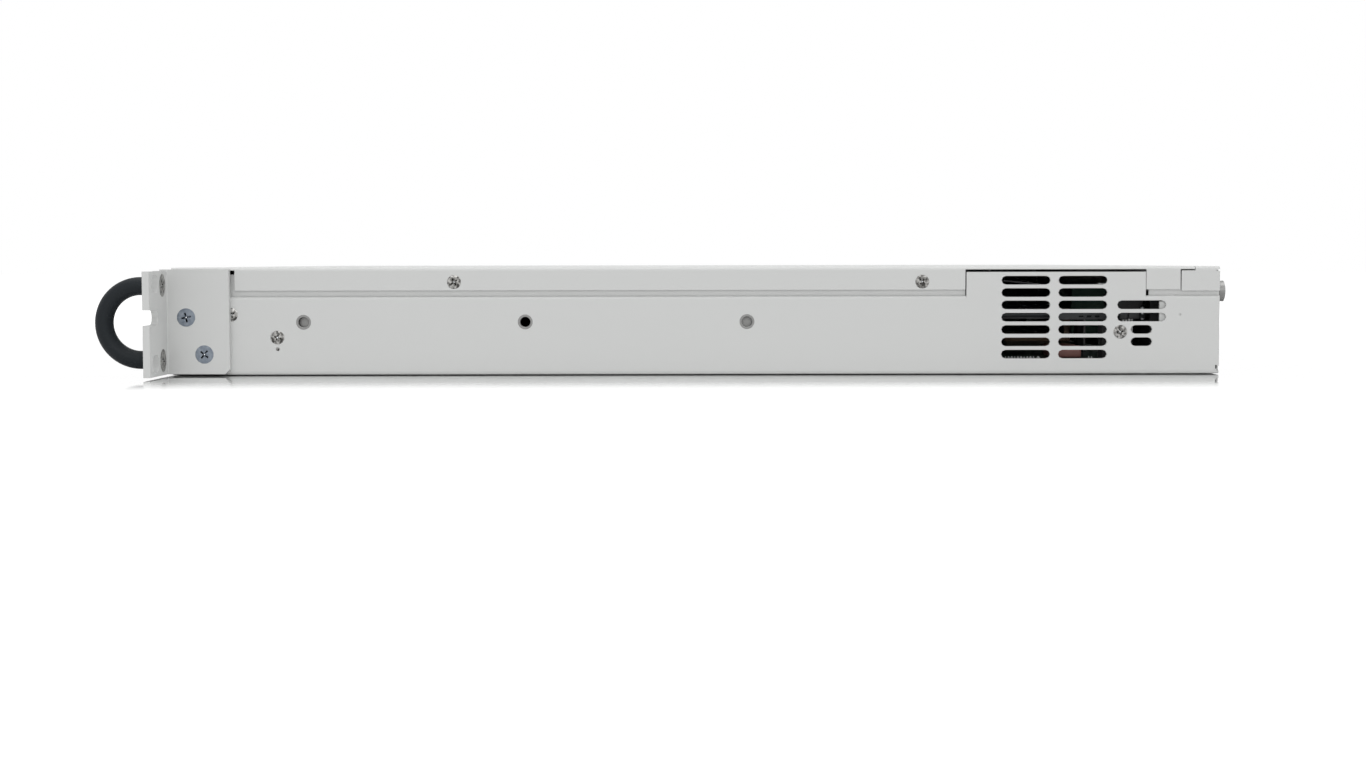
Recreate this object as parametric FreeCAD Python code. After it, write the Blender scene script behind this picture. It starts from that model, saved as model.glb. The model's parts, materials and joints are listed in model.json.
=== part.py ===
import FreeCAD, Part
import math
import os

# Rack-mounted DC power supply, one rack unit high.
# Millimetres. +Z is up, the front faces -Y, +X is to the right of the front.
# The origin is the centre of the flat underside.

# Overall sizes
rack_width = 482.6
ear_reach = 29.9
body_width = rack_width - 2 * ear_reach
body_height = 43.6
body_depth = 432.8
half = body_width / 2
y_front = -body_depth / 2
y_rear = body_depth / 2

# Folded steel sheet
sheet = 1.2
fold_radius = 1.5
inner_fold = fold_radius - sheet
fit_gap = 0.2

# Front panel and what stands behind it
fascia_depth = 7.5
fascia_plate = 2.5
fascia_rim = 2.0
fascia_inset = 1.3

# Recessed upper wall of the chassis
shelf_height = 31.8
recess_wall_top = 40.8
rear_wall_top = 40.5
cover_fit = 0.2

# Ventilated stretch of the wall
vent_wall_front = y_rear - 102.75
vent_wall_rear = y_rear - 30.0
vent_wall_top = 41.4
wall_split = 0.3
relief_width = 1.45
relief_height = 2.4
corner_relief = 1.0

# Ventilation slots
slot_height = 3.5
slot_rows = 7
slot_pitch = 5.0
slot_first_row = 8.0
slot_long = 19.9
slot_short = 8.8
slot_columns = (y_rear - 78.6, y_rear - 55.5)
slot_rear_column = y_rear - 31.6
slot_rear_long_rows = (3, 4)
slot_rear_short_rows = (1, 2)

# Top cover
cover_flange_bottom = 34.2
cover_flange_front = y_front + 33.2
cover_flange_gap = 0.45
cover_rear_flange_start = y_rear - 29.8
cover_rear_flange_end = y_rear - 16.0
cover_rear = y_rear - 10.1

# Rear top rail
rail_flange_front = y_rear - 15.5
rail_flange_bottom = 33.7
rail_tongue_top = 41.9
rail_tongue_reach = 14.0
rail_corner_notch = 1.4

# Rack ears
ear_sheet = 2.8
ear_setback = 3.5
ear_height = 41.7
ear_bottom = 0.5
ear_side_rise = 0.7
ear_rise = 0.3
ear_side_length = 28.0
ear_inner_fold = 0.5
ear_corner_cut = 2.0
rack_hole_span = rack_width - 17.5
rack_hole_pitch = 31.75
rack_slot_height = 6.8
rack_slot_length = 10.3
ear_notch_height = 6.0
ear_notch_rise = 2.5

# Handles
handle_rod = 7.4
handle_pitch = 30.1
handle_offset = 9.6
handle_leg = 5.8
handle_screw_head = 9.2
handle_screw_shank = 4.0
handle_screw_length = 8.0

# Bracket screws: back from the ear face, height
ear_screw_places = ((10.5, 23.5), (17.7, 8.5))
ear_screw_head = 7.4
ear_screw_shank = 4.0
ear_screw_length = 6.0

# Small screws: back along the side, height
small_screw_head = 5.5
small_screw_shank = 3.0
small_screw_length = 2.2
cover_screw_places = ((y_front + 122.2, 37.6), (y_rear - 120.7, 37.5))
side_screw_places = ((y_front + 50.3, 15.2), (y_rear - 40.2, 17.0))
hidden_screw_place = (y_front + 31.6, 24.5)

# Small round marks in the right wall: back along the side, height, radius
mark_places = ((y_front + 50.4, 10.5, 0.8), (y_rear - 16.0, 24.1, 0.5))
mark_depth = 0.3

# Threaded nuts for rack slides
slide_nut_first = y_front + 61.0
slide_nut_pitch = 90.0
slide_nut_count = 3
slide_nut_height = 21.4
slide_nut_ring = 6.0
slide_nut_bore = 4.1
slide_nut_depth = 3.0

# Rear panel
front_flange_reach = 30.0
rear_flange_reach = 22.9
panel_flange_top = 29.4
panel_flange_bottom = 3.0

# Screw clearance in holes, and the flats that small round details are drawn with
hole_gap = 0.1
small_side_count = 12
slot_end_count = 4
hidden_side_count = 8
handle_side_count = 8
handle_step_count = 10
notch_end_count = 6

# Front controls: places across the front
control_height = 21.8
switch_x = -half + 21.4
volt_knob_x = -half + 53.4
amp_knob_x = half - 219.4
window_left = -half + 69.4
window_right = half - 235.4
window_height = 22.0
window_thickness = 1.6
window_ledge = 1.5
button_columns = (half - 195.4, half - 180.4, half - 165.4)
button_rows = (13.3, 30.3)

# Power switch
switch_width = 14.0
switch_height = 21.0
switch_bezel = 1.6
switch_bezel_depth = 1.0
switch_body_depth = 22.0
switch_wall = 1.2
rocker_gap = 0.4
rocker_pivot = 1.5
rocker_tail = 3.0
rocker_tilt = 8.0
rocker_axis_depth = 6.0

# Knobs and encoders
knob_radius = 7.5
knob_length = 12.0
knob_stand_off = 0.8
knob_taper = 0.5
knob_side_count = 20
stem_radius = 3.0
stem_gap = 0.05
encoder_size = 13.0
encoder_depth = 5.0
encoder_nose = 5.0

# Display modules and board
digit_width = (window_right - window_left) / 2 - 9.0
digit_height = 19.0
digit_spacing = digit_width + 8.0
board_sheet = 1.6
display_board_gap = 1.0
post_radius = 2.5
post_inset = 4.0
display_board_left = -half + 35.4
display_board_right = half - 154.4
display_board_bottom = 5.0
display_board_top = 38.5

# Push buttons
button_width = 9.0
button_height = 5.2
button_gap = 0.3
button_proud = 1.4
button_travel = 1.0
button_rest_gap = 0.2
button_stem = 3.0
key_switch_size = 6.0
key_switch_depth = 3.5
key_switch_gap = 1.5
lamp_size = 2.0
lamp_rise = 5.6

# Intake grille and fans
fan_size = 40.0
fan_depth = 28.0
fan_pitch = 44.0
fan_first_x = half - 127.4
fan_count = 3
fan_bore = 37.2
fan_flats = 16
fan_plate = 2.4
fan_strut = 3.0
fan_motor_square = 17.0
hub_radius = 9.0
hub_flats = 14
hub_front_gap = 2.5
hub_rear_gap = 0.4
blade_count = 5
blade_thickness = 1.2
blade_angle = 38.0
blade_tip_gap = 0.6
grille_left = half - 147.4
grille_count = 18
grille_pitch = 7.2
grille_width = 4.6
grille_bottom = 7.0
grille_top = 36.6

# Main board and what stands on it
board_bottom = 4.4
board_half_width = half - 8.4
board_front = y_front + 44.4
board_rear = y_rear - 28.4
standoff_across = 6.0
standoff_rows = (board_front + 12.0, (board_front + board_rear) / 2, board_rear - 12.0)
standoff_columns = (-board_half_width + 13.0, 0.0, board_half_width - 13.0)

# Side heatsinks, right and left
sink_bottom_gap = 0.3
sink_top = 39.0
sink_base = 3.0
sink_fin = 1.4
sink_fin_pitch = 5.6
sink_fin_count = 6
sink_reach = 17.0
sink_wall_gap = 1.0
sink_spans = ((y_front + 46.4, y_front + 132.4), (-0.042 * body_depth, 0.166 * body_depth))
device_width = 16.0
device_height = 21.0
device_thickness = 5.0
device_pitch = 26.0

# Output heatsink across the air path
output_sink_x = -0.45 * half
output_sink_width = 64.0
output_sink_front = y_rear - 156.4
output_sink_rear = y_rear - 66.4
output_sink_fins = 10

# Magnetics and capacitors
transformer_x = 0.28 * half
transformer_y = y_front + 196.4
transformer_core = (52.0, 44.0, 32.0)
winding_overhang = 7.0
inductor_x = -0.28 * half
inductor_y = y_front + 206.4
inductor_radius = 24.0
inductor_bore = 10.0
inductor_height = 22.0
bulk_radius = 15.0
bulk_length = 46.0
bulk_x = 0.47 * half
bulk_y = y_front + 86.4
bulk_count = 4
bulk_pitch = 32.0
choke_x = half - 91.4
choke_y = y_rear - 96.4
choke_size = (30.0, 30.0, 28.0)
choke_window = 14.0
film_cap_front = y_rear - 65.4
film_cap_length = 11.6
film_cap_width = 26.0
film_cap_height = 5.0
film_cap_edge = half - 10.4
daughter_board_edge = half - 12.4
daughter_board_height = 22.2
daughter_board_front = y_rear - 94.4
daughter_board_rear = y_rear - 27.4
daughter_board_width = 60.0
filter_post_rows = (daughter_board_front + 2.6, y_rear - 43.4)

# Rear connectors: places across the rear
inlet_x = half - 35.4
inlet_z = 21.0
inlet_flange = (42.0, 29.0)
inlet_flange_depth = 2.4
inlet_body = (32.0, 25.0)
inlet_cavity = (25.0, 17.0)
inlet_depth = 24.0
inlet_cavity_depth = 16.0
inlet_corner = 4.0
pin_width = 2.0
pin_height = 4.0
pin_length = 13.0
pin_spacing = 14.0
pin_offset = 2.0
terminal_x = -half + 207.4
terminal_z = 22.0
terminal_ways = 4
terminal_pitch = 13.0
terminal_height = 24.0
terminal_depth = 26.0
terminal_mouth = 8.0
terminal_mouth_depth = 14.0
terminal_proud = 2.0
terminal_screw_mouth = 5.0
terminal_screw_drop = 5.6
terminal_screw_depth = 4.0
terminal_mouth_rise = 3.0
bar_start_gap = 10.0
bar_width = 18.0
bar_thickness = 3.0
sense_x = -half + 153.4
sense_width = 27.0
sense_height = 9.0
sense_ways = 5
sense_edge = 1.5
sense_entry = 3.0
sense_entry_depth = 6.0
analog_x = -half + 101.4
analog_width = 53.0
analog_height = 12.5
analog_shell = (41.0, 9.4)
analog_slope = 10.0
analog_plate = 0.8
analog_shell_proud = 2.6
lan_x = -half + 45.4
lan_size = (16.0, 14.0)
lan_mouth = (12.0, 9.0)
lan_depth = 18.0
lan_mouth_depth = 13.0
lan_latch = 1.5
connector_z = 13.0
connector_proud = 1.6
connector_depth = 10.0
ground_x = half - 8.4
ground_z = 33.4
ground_head = 9.8
ground_head_depth = 3.6
ground_shank = 4.0
ground_length = 9.0
rear_vent_left = terminal_x + 38.0
rear_vent_pitch = 6.8
rear_vent_count = int((inlet_x - inlet_flange[0] / 2 - rear_vent_left) / rear_vent_pitch) - 1
rear_vent_width = 4.0
rear_vent_bottom = 8.0
rear_vent_top = 36.0

# Values that follow from the sizes above
y_sheet = y_front + fascia_depth
y_panel = y_sheet + sheet
recess = sheet + cover_fit
ear_face = y_front + ear_setback
ear_back = ear_face + ear_sheet
ear_outer = rack_width / 2
rack_middle = body_height / 2 - ear_rise
floor_top = sheet
cover_under = body_height - sheet
board_top = board_bottom + board_sheet
display_board_front = y_panel + display_board_gap
display_board_back = display_board_front + board_sheet
fan_front = y_panel + fit_gap
fan_middle = floor_top + fit_gap + fan_size / 2
handle_x = half + handle_offset
panel_half_low = half - sheet - fit_gap
panel_half_high = half - sheet - recess - fit_gap
sides = (("right", 1), ("left", -1))

V = FreeCAD.Vector
parts = {}


def block(x, y, z):
    # a box from its low and high ends along each axis
    corner = V(min(x), min(y), min(z))
    return Part.makeBox(abs(x[1] - x[0]), abs(y[1] - y[0]), abs(z[1] - z[0]), corner)


def rod(start, end, radius):
    # a true cylinder from one point to another
    line = V(*end) - V(*start)
    return Part.makeCylinder(radius, line.Length, V(*start), line)


def ring(centre, line, radius, flats):
    # closed many-sided ring whose corners lie on a circle about a line
    if abs(line.x) > 0.9 * line.Length:
        across, up = V(0, 1, 0), V(0, 0, 1)
    elif abs(line.y) > 0.9 * line.Length:
        across, up = V(1, 0, 0), V(0, 0, 1)
    else:
        across, up = V(1, 0, 0), V(0, 1, 0)
    points = []
    for i in range(flats):
        turn = 2 * math.pi * (i + 0.5) / flats
        points.append(centre + across * (radius * math.cos(turn)) + up * (radius * math.sin(turn)))
    return Part.makePolygon(points + points[:1])


def stud(start, end, radius, flats=0):
    # a small round pin drawn with a few flats
    line = V(*end) - V(*start)
    return Part.Face(ring(V(*start), line, radius, flats or small_side_count)).extrude(line)


def hidden_hole(start, end, width):
    # clearance hole that stays out of sight, drawn with fewer flats round the pin
    return stud(start, end, (width / 2 + hole_gap) / math.cos(math.pi / hidden_side_count), hidden_side_count)


def taper(*rings):
    # a solid through a row of like rings, with flat sides
    faces = [Part.Face(rings[0]), Part.Face(rings[-1])]
    for start_ring, end_ring in zip(rings, rings[1:]):
        first = [v.Point for v in start_ring.OrderedVertexes]
        last = [v.Point for v in end_ring.OrderedVertexes]
        for i in range(len(first)):
            j = (i + 1) % len(first)
            faces.append(Part.Face(Part.makePolygon([first[i], first[j], last[j], last[i], first[i]])))
    solid = Part.Solid(Part.Shell(faces))
    if solid.Volume < 0:
        solid.reverse()
    return solid


def cone(start, end, start_radius, end_radius):
    # a small round taper drawn with a few flats
    line = V(*end) - V(*start)
    return taper(ring(V(*start), line, start_radius, small_side_count),
                 ring(V(*end), line, end_radius, small_side_count))


def half_round(centre, radius, turn, steps):
    # points of a half circle, starting at the angle turn
    points = []
    for i in range(steps + 1):
        angle = turn + math.pi * i / steps
        points.append((centre[0] + radius * math.cos(angle), centre[1] + radius * math.sin(angle)))
    return points


def outline(corners, place):
    # closed outline of straight runs, with an arc at each corner that has a radius
    runs = []
    count = len(corners)
    for i in range(count):
        before = V(*place(*corners[i - 1][:2]))
        here = V(*place(*corners[i][:2]))
        after = V(*place(*corners[(i + 1) % count][:2]))
        radius = corners[i][2] if len(corners[i]) > 2 else 0.0
        if radius <= 0:
            runs.append((here, None, here))
            continue
        back = (before - here).normalize()
        ahead = (after - here).normalize()
        opening = back.getAngle(ahead)
        reach = radius / math.tan(opening / 2)
        inward = (back + ahead).normalize()
        centre = here + inward * (radius / math.sin(opening / 2))
        middle = centre - inward * radius
        runs.append((here + back * reach, middle, here + ahead * reach))
    edges = []
    for i in range(count):
        start, middle, end = runs[i]
        if middle is not None:
            edges.append(Part.Arc(start, middle, end).toShape())
        following = runs[(i + 1) % count][0]
        if (following - end).Length > 1e-6:
            edges.append(Part.makeLine(end, following))
    return Part.Face(Part.Wire(edges))


def along_y(corners, y):
    # an outline in X and Z, run along Y
    face = outline(corners, lambda a, b: (a, min(y), b))
    return face.extrude(V(0, abs(y[1] - y[0]), 0))


def along_x(corners, x):
    # an outline in Y and Z, run along X
    face = outline(corners, lambda a, b: (min(x), a, b))
    return face.extrude(V(abs(x[1] - x[0]), 0, 0))


def along_z(corners, z):
    # an outline in X and Y, run along Z
    face = outline(corners, lambda a, b: (a, b, min(z)))
    return face.extrude(V(0, 0, abs(z[1] - z[0])))


def rectangle(u, v, radius=0.0):
    return [(u[0], v[0], radius), (u[1], v[0], radius), (u[1], v[1], radius), (u[0], v[1], radius)]


def joined(shapes):
    result = shapes[0]
    if len(shapes) > 1:
        result = shapes[0].fuse(shapes[1:])
    return result.removeSplitter()


def without(shape, cutters):
    return shape.cut(cutters).removeSplitter()


def other_side(shape):
    return shape.mirror(V(0, 0, 0), V(1, 0, 0))


def both_sides(shapes):
    return shapes + [other_side(shape) for shape in shapes]


def keep(name, shape):
    parts[name] = shape


def keep_group(name, solids):
    parts[name] = Part.makeCompound(solids)


def countersunk(start, end, head_radius, shank_radius, head_depth):
    # screw whose flat head starts at start, with the head a cone
    line = V(*end) - V(*start)
    neck = V(*start) + line.normalize() * head_depth
    head = cone(start, tuple(neck), head_radius, shank_radius)
    shank = stud(tuple(neck), end, shank_radius)
    return joined([head, shank])


def wall_profile(side_top, recessed):
    # section of the tray: floor, two side walls and their fold or joggle
    w = half
    t = sheet
    if not recessed:
        return [(-w, side_top), (-w, 0, fold_radius), (w, 0, fold_radius), (w, side_top),
                (w - t, side_top), (w - t, t, inner_fold), (-w + t, t, inner_fold), (-w + t, side_top)]
    shelf = shelf_height
    right_outer = [(w, 0, fold_radius), (w, shelf, t), (w - recess, shelf), (w - recess, side_top)]
    right_inner = [(w - recess - t, side_top), (w - recess - t, shelf - t),
                   (w - t, shelf - t), (w - t, t, inner_fold)]
    left_inner = [(-c[0],) + c[1:] for c in reversed(right_inner)]
    left_outer = [(-c[0],) + c[1:] for c in reversed(right_outer)]
    return right_outer + right_inner + left_inner + left_outer


def vent_slots():
    # cutters of one side's ventilation slots
    x = (half - 2 * sheet, half + sheet)
    r = slot_height / 2

    def slot(centre, length, row):
        z = slot_first_row + row * slot_pitch
        straight = length / 2 - r
        corners = half_round((centre + straight, z), r, -math.pi / 2, slot_end_count)
        corners += half_round((centre - straight, z), r, math.pi / 2, slot_end_count)
        return along_x(corners, x)

    cutters = [slot(centre, slot_long, row) for centre in slot_columns for row in range(slot_rows)]
    for rows, length in ((slot_rear_long_rows, slot_long), (slot_rear_short_rows, slot_short)):
        cutters += [slot(slot_rear_column, length, row) for row in rows]
    return cutters


def slide_nut_places():
    return [(slide_nut_first + i * slide_nut_pitch, slide_nut_height) for i in range(slide_nut_count)]


def make_chassis():
    joggled = along_y(wall_profile(recess_wall_top, True), (y_sheet, y_rear))
    upright = along_y(wall_profile(vent_wall_top, False), (vent_wall_front, vent_wall_rear))
    far = (-half - 1, half + 1)
    inner = (-half + sheet, half - sheet)
    split = (vent_wall_front - wall_split, vent_wall_rear + wall_split)
    tray = joggled.cut([block(far, split, (shelf_height, body_height)),
                        block(inner, split, (shelf_height - 2 * sheet, body_height))])
    tray = tray.fuse(upright).removeSplitter()
    reliefs = [block(far, (vent_wall_rear, vent_wall_rear + relief_width),
                     (shelf_height, shelf_height + relief_height)),
               block(far, (vent_wall_rear, y_rear + 1), (rear_wall_top, body_height))]
    corner = block((half - sheet, half + 1), (y_rear - corner_relief, y_rear + 1),
                   (sheet, sheet + 2 * corner_relief))
    tray = without(tray, reliefs + both_sides([corner]))

    wall = (half - 2 * sheet, half + sheet)
    cutters = []
    for y, z in slide_nut_places():
        cutters.append(stud((wall[0], y, z), (wall[1], y, z), slide_nut_ring / 2 + hole_gap / 2))
    for y, z in side_screw_places + (hidden_screw_place,):
        cutters.append(stud((wall[0], y, z), (wall[1], y, z), small_screw_head / 2 + hole_gap))
    for y, z in cover_screw_places:
        cutters.append(hidden_hole((half - recess - 2 * sheet, y, z), (wall[1], y, z), small_screw_shank))
    for back, z in ear_screw_places:
        y = ear_face + back
        cutters.append(hidden_hole((wall[0], y, z), (wall[1], y, z), ear_screw_shank))
    marks = [stud((half - mark_depth, y, z), (wall[1], y, z), radius, hidden_side_count)
             for y, z, radius in mark_places]
    tray = tray.cut(both_sides(cutters) + vent_slots() + marks)
    keep("chassis", tray)


def flanged_top(flange_bottom, y):
    # a sheet across the full width with a flange folded down at each side
    w = half
    t = sheet
    h = body_height
    corners = [(w, flange_bottom), (w, h, fold_radius), (-w, h, fold_radius), (-w, flange_bottom),
               (-w + t, flange_bottom), (-w + t, h - t, inner_fold), (w - t, h - t, inner_fold),
               (w - t, flange_bottom)]
    return along_y(corners, y)


def make_cover():
    cover = flanged_top(cover_flange_bottom, (y_sheet, cover_rear))
    flange_end = vent_wall_front - cover_flange_gap
    openings = ((y_sheet - 1, cover_flange_front), (flange_end, cover_rear_flange_start),
                (cover_rear_flange_end, cover_rear + 1))
    cutters = []
    for y in openings:
        cutters.append(block((half - 2 * sheet, half + 1), y, (0, cover_under)))
    for y, z in cover_screw_places:
        cutters.append(stud((half - 2 * sheet, y, z), (half + 1, y, z), small_screw_head / 2 + hole_gap))
    cover = without(cover, both_sides(cutters))
    keep("top_cover", cover)


def make_rear_rail():
    rail = flanged_top(rail_flange_bottom, (rail_flange_front, y_rear))
    step = cover_rear + fit_gap
    tongue = (rail_tongue_top - sheet, rail_tongue_top)
    rail = rail.cut(block((-half - 1, half + 1), (rail_flange_front - 1, step),
                          (rail_tongue_top, body_height + 1)))
    inside = half - sheet
    shelf = block((-inside, inside), (rail_flange_front, step + sheet), tongue)
    lip = block((-panel_half_high, panel_half_high),
                (cover_rear - rail_tongue_reach, rail_flange_front), tongue)
    riser = block((-inside, inside), (step, step + sheet), (tongue[0], cover_under + sheet / 2))
    rail = joined([rail, shelf, lip, riser])
    notch = block((half - 2 * sheet, half + 1), (y_rear - rail_corner_notch, y_rear + 1),
                  (cover_under - rail_corner_notch / 2, cover_under))
    rail = without(rail, both_sides([notch]))
    keep("rear_top_rail", rail)


def end_panel(y, flange_y):
    # flat panel between the walls with a flange folded back along each wall
    low = panel_half_low
    high = panel_half_high
    turn = panel_flange_top + fit_gap
    bottom = floor_top + fit_gap
    top = cover_under - fit_gap
    corners = [(-low, bottom), (low, bottom), (low, turn), (high, turn), (high, top),
               (-high, top), (-high, turn), (-low, turn)]
    plate = along_y(corners, y)
    flange = block((low - sheet, low), flange_y, (panel_flange_bottom, panel_flange_top))
    return joined([plate] + both_sides([flange]))


def window_cut(x, z, y):
    return block(x, (min(y) - 1, max(y) + 1), z)


def centred(middle, size):
    return (middle - size / 2, middle + size / 2)


def switch_opening(y):
    return window_cut(centred(switch_x, switch_width), centred(control_height, switch_height), y)


def fan_places():
    return [fan_first_x + i * fan_pitch for i in range(fan_count)]


def button_places():
    return [(x, z) for z in button_rows for x in button_columns]


def make_front_subpanel():
    y = (y_sheet, y_panel)
    panel = end_panel(y, (y_sheet, y_sheet + front_flange_reach))
    cutters = [switch_opening(y)]
    for x in (volt_knob_x, amp_knob_x):
        cutters.append(window_cut(centred(x, encoder_size + 2 * fit_gap),
                                  centred(control_height, encoder_size + 2 * fit_gap), y))
    cutters.append(window_cut((window_left + 2 * window_ledge, window_right - 2 * window_ledge),
                              centred(control_height, digit_height + 2 * fit_gap), y))
    edge = key_switch_size / 2 + key_switch_gap
    lamp_top = button_rows[-1] + lamp_rise + lamp_size / 2 + fit_gap
    cutters.append(window_cut((button_columns[0] - edge, button_columns[-1] + edge),
                              (button_rows[0] - edge, lamp_top), y))
    wall = (panel_half_low - 2 * sheet, half)
    screws = [(ear_face + back, z, ear_screw_shank) for back, z in ear_screw_places]
    screws.append(hidden_screw_place + (small_screw_shank,))
    holes = [hidden_hole((wall[0], along, z), (wall[1], along, z), shank) for along, z, shank in screws]
    cutters += both_sides(holes)
    for x in fan_places():
        cutters.append(stud((x, y[0] - 1, fan_middle), (x, y[1] + 1, fan_middle), fan_bore / 2, fan_flats))
    panel = without(panel, cutters)
    keep("front_subpanel", panel)


def make_fascia():
    w = half - fit_gap
    z = (fascia_inset, body_height - fascia_inset)
    y = (y_front, y_sheet)
    panel = block((-w, w), y, z)
    back = y_front + fascia_plate
    pocket = block((-w + fascia_rim, w - fascia_rim), (back, y_sheet + 1),
                   (z[0] + fascia_rim, z[1] - fascia_rim))
    cutters = [pocket]
    plate = (y_front, back)
    cutters.append(switch_opening(plate))
    for x in (volt_knob_x, amp_knob_x):
        cutters.append(stud((x, y_front - 1, control_height), (x, back + 1, control_height),
                            encoder_nose + hole_gap))
    cutters.append(block((window_left, window_right), (y_front - 1, y_front + window_thickness + fit_gap),
                         centred(control_height, window_height)))
    cutters.append(window_cut((window_left + window_ledge, window_right - window_ledge),
                              centred(control_height, window_height - 2 * window_ledge), plate))
    for x, z_row in button_places():
        cutters.append(window_cut(centred(x, button_width + 2 * button_gap),
                                  centred(z_row, button_height + 2 * button_gap), plate))
        cutters.append(window_cut(centred(x, lamp_size + 2 * hole_gap),
                                  centred(z_row + lamp_rise, lamp_size + 2 * hole_gap), plate))
    for i in range(grille_count):
        x = grille_left + i * grille_pitch
        cutters.append(window_cut((x, x + grille_width), (grille_bottom, grille_top), plate))
    panel = without(panel, cutters)
    keep("front_panel", panel)


def ear_notch(x_ends, z):
    # cutter of a slot that is round at its inner end and open at the outer one
    r = ear_notch_height / 2
    corners = half_round((x_ends[0] + r, z), r, math.pi / 2, notch_end_count)
    corners += [(x_ends[1], z - r), (x_ends[1], z + r)]
    return along_y(corners, (ear_face - 1, ear_back + 1))


def make_ears_and_handles():
    plate_out = half + ear_sheet
    ear_top = ear_bottom + ear_height
    z = (ear_bottom, ear_top + ear_side_rise)
    side_end = ear_face + ear_side_length
    corners = [(half, side_end), (plate_out, side_end), (plate_out, ear_back, ear_inner_fold),
               (ear_outer, ear_back), (ear_outer, ear_face), (half, ear_face, ear_inner_fold + ear_sheet)]
    ear = along_z(corners, z)
    corner = along_x([(side_end, z[0]), (side_end - ear_corner_cut, z[0]), (side_end, z[0] + ear_corner_cut)],
                     (half - 1, plate_out + 1))
    slot_x = centred(rack_hole_span / 2, rack_slot_length)
    above = block((plate_out, ear_outer + 1), (ear_face - 1, ear_back + 1), (ear_top, body_height))
    cutters = [corner, above]
    for rise in (-rack_hole_pitch / 2, rack_hole_pitch / 2):
        slot = rectangle(slot_x, centred(rack_middle + rise, rack_slot_height), rack_slot_height / 2)
        cutters.append(along_y(slot, (ear_face - 1, ear_back + 1)))
    cutters.append(ear_notch((slot_x[0], ear_outer + 1), rack_middle + ear_notch_rise))

    handle_screws = []
    handles = []
    ends = [rack_middle - handle_pitch / 2, rack_middle + handle_pitch / 2]
    for end in ends:
        tip = ear_back - handle_screw_length
        cutters.append(cone((handle_x, ear_back, end), (handle_x, ear_face, end),
                            handle_screw_head / 2 + hole_gap, handle_screw_shank / 2 + hole_gap))
        handle_screws.append(countersunk((handle_x, ear_back, end), (handle_x, tip, end),
                                         handle_screw_head / 2, handle_screw_shank / 2, ear_sheet))
    ear_screws = []
    for back, height in ear_screw_places:
        y = ear_face + back
        cutters.append(cone((plate_out, y, height), (half, y, height),
                            ear_screw_head / 2 + hole_gap, ear_screw_shank / 2 + hole_gap))
        ear_screws.append(countersunk((plate_out, y, height), (plate_out - ear_screw_length, y, height),
                                      ear_screw_head / 2, ear_screw_shank / 2, ear_sheet))
    ear = without(ear, cutters)
    foot = V(handle_x, ear_face, ends[1])
    leg = V(0, handle_leg, 0)
    bend = V(handle_x, ear_face - handle_leg, rack_middle)
    sections = [ring(foot, V(0, 1, 0), handle_rod / 2, handle_side_count)]
    for i in range(handle_step_count + 1):
        section = ring(foot - leg, V(0, 1, 0), handle_rod / 2, handle_side_count)
        section.rotate(bend, V(1, 0, 0), 180.0 * i / handle_step_count)
        sections.append(section)
    last = sections[-1].copy()
    last.translate(leg)
    bow = taper(*sections, last)
    threads = [stud((handle_x, ear_face, end), (handle_x, ear_back - handle_screw_length - hole_gap, end),
                    handle_screw_shank / 2 + hole_gap) for end in ends]
    bow = bow.cut(threads)
    keep("rack_ear_right", ear)
    keep("rack_ear_left", other_side(ear))
    keep_group("handles", both_sides([bow]))
    keep_group("handle_screws", both_sides(handle_screws))
    keep_group("bracket_screws", both_sides(ear_screws))


def make_side_hardware():
    nuts = []
    for y, z in slide_nut_places():
        nut = stud((half - slide_nut_depth, y, z), (half, y, z), slide_nut_ring / 2)
        hole = rod((half - slide_nut_depth - 1, y, z), (half + 1, y, z), slide_nut_bore / 2)
        nuts.append(nut.cut(hole))
    keep_group("slide_nuts_right", nuts)
    keep_group("slide_nuts_left", [other_side(nut) for nut in nuts])

    def low_head(y, z, face):
        neck = face - sheet + hole_gap
        head = stud((face - hole_gap, y, z), (neck, y, z), small_screw_head / 2)
        shank = stud((neck, y, z), (neck - small_screw_length, y, z), small_screw_shank / 2,
                     hidden_side_count)
        return joined([head, shank])

    cover_screws = [low_head(y, z, half) for y, z in cover_screw_places]
    keep_group("cover_screws", both_sides(cover_screws))
    side_screws = [low_head(y, z, half) for y, z in side_screw_places + (hidden_screw_place,)]
    keep_group("side_screws", both_sides(side_screws))


def make_rear_panel():
    y = (y_rear - sheet, y_rear)
    panel = end_panel(y, (y_rear - sheet - rear_flange_reach, y_rear))
    top = block((-panel_half_high, panel_half_high), (cover_rear + 2 * sheet, y_rear),
                (cover_under - fit_gap - sheet, cover_under - fit_gap))
    panel = joined([panel, top])
    cutters = []
    for middle, height, size in ((inlet_x, inlet_z, inlet_body), (lan_x, connector_z, lan_size)):
        cutters.append(window_cut(centred(middle, size[0] + 2 * fit_gap),
                                  centred(height, size[1] + 2 * fit_gap), y))
    cutters.append(window_cut(centred(terminal_x, terminal_ways * terminal_pitch + 2 * fit_gap),
                              centred(terminal_z, terminal_height + 2 * fit_gap), y))
    cutters.append(window_cut(centred(sense_x, sense_width + 2 * fit_gap),
                              centred(connector_z, sense_height + 2 * fit_gap), y))
    cutters.append(window_cut(centred(analog_x, analog_shell[0] + 2 * fit_gap),
                              centred(connector_z, analog_shell[1] + 2 * fit_gap), y))
    for i in range(rear_vent_count):
        x = rear_vent_left + i * rear_vent_pitch
        cutters.append(window_cut((x, x + rear_vent_width), (rear_vent_bottom, rear_vent_top), y))
    cutters.append(stud((ground_x, y[0] - 1, ground_z), (ground_x, y[1] + 1, ground_z),
                        ground_shank / 2 + hole_gap))
    keep("rear_panel", without(panel, cutters))


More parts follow.
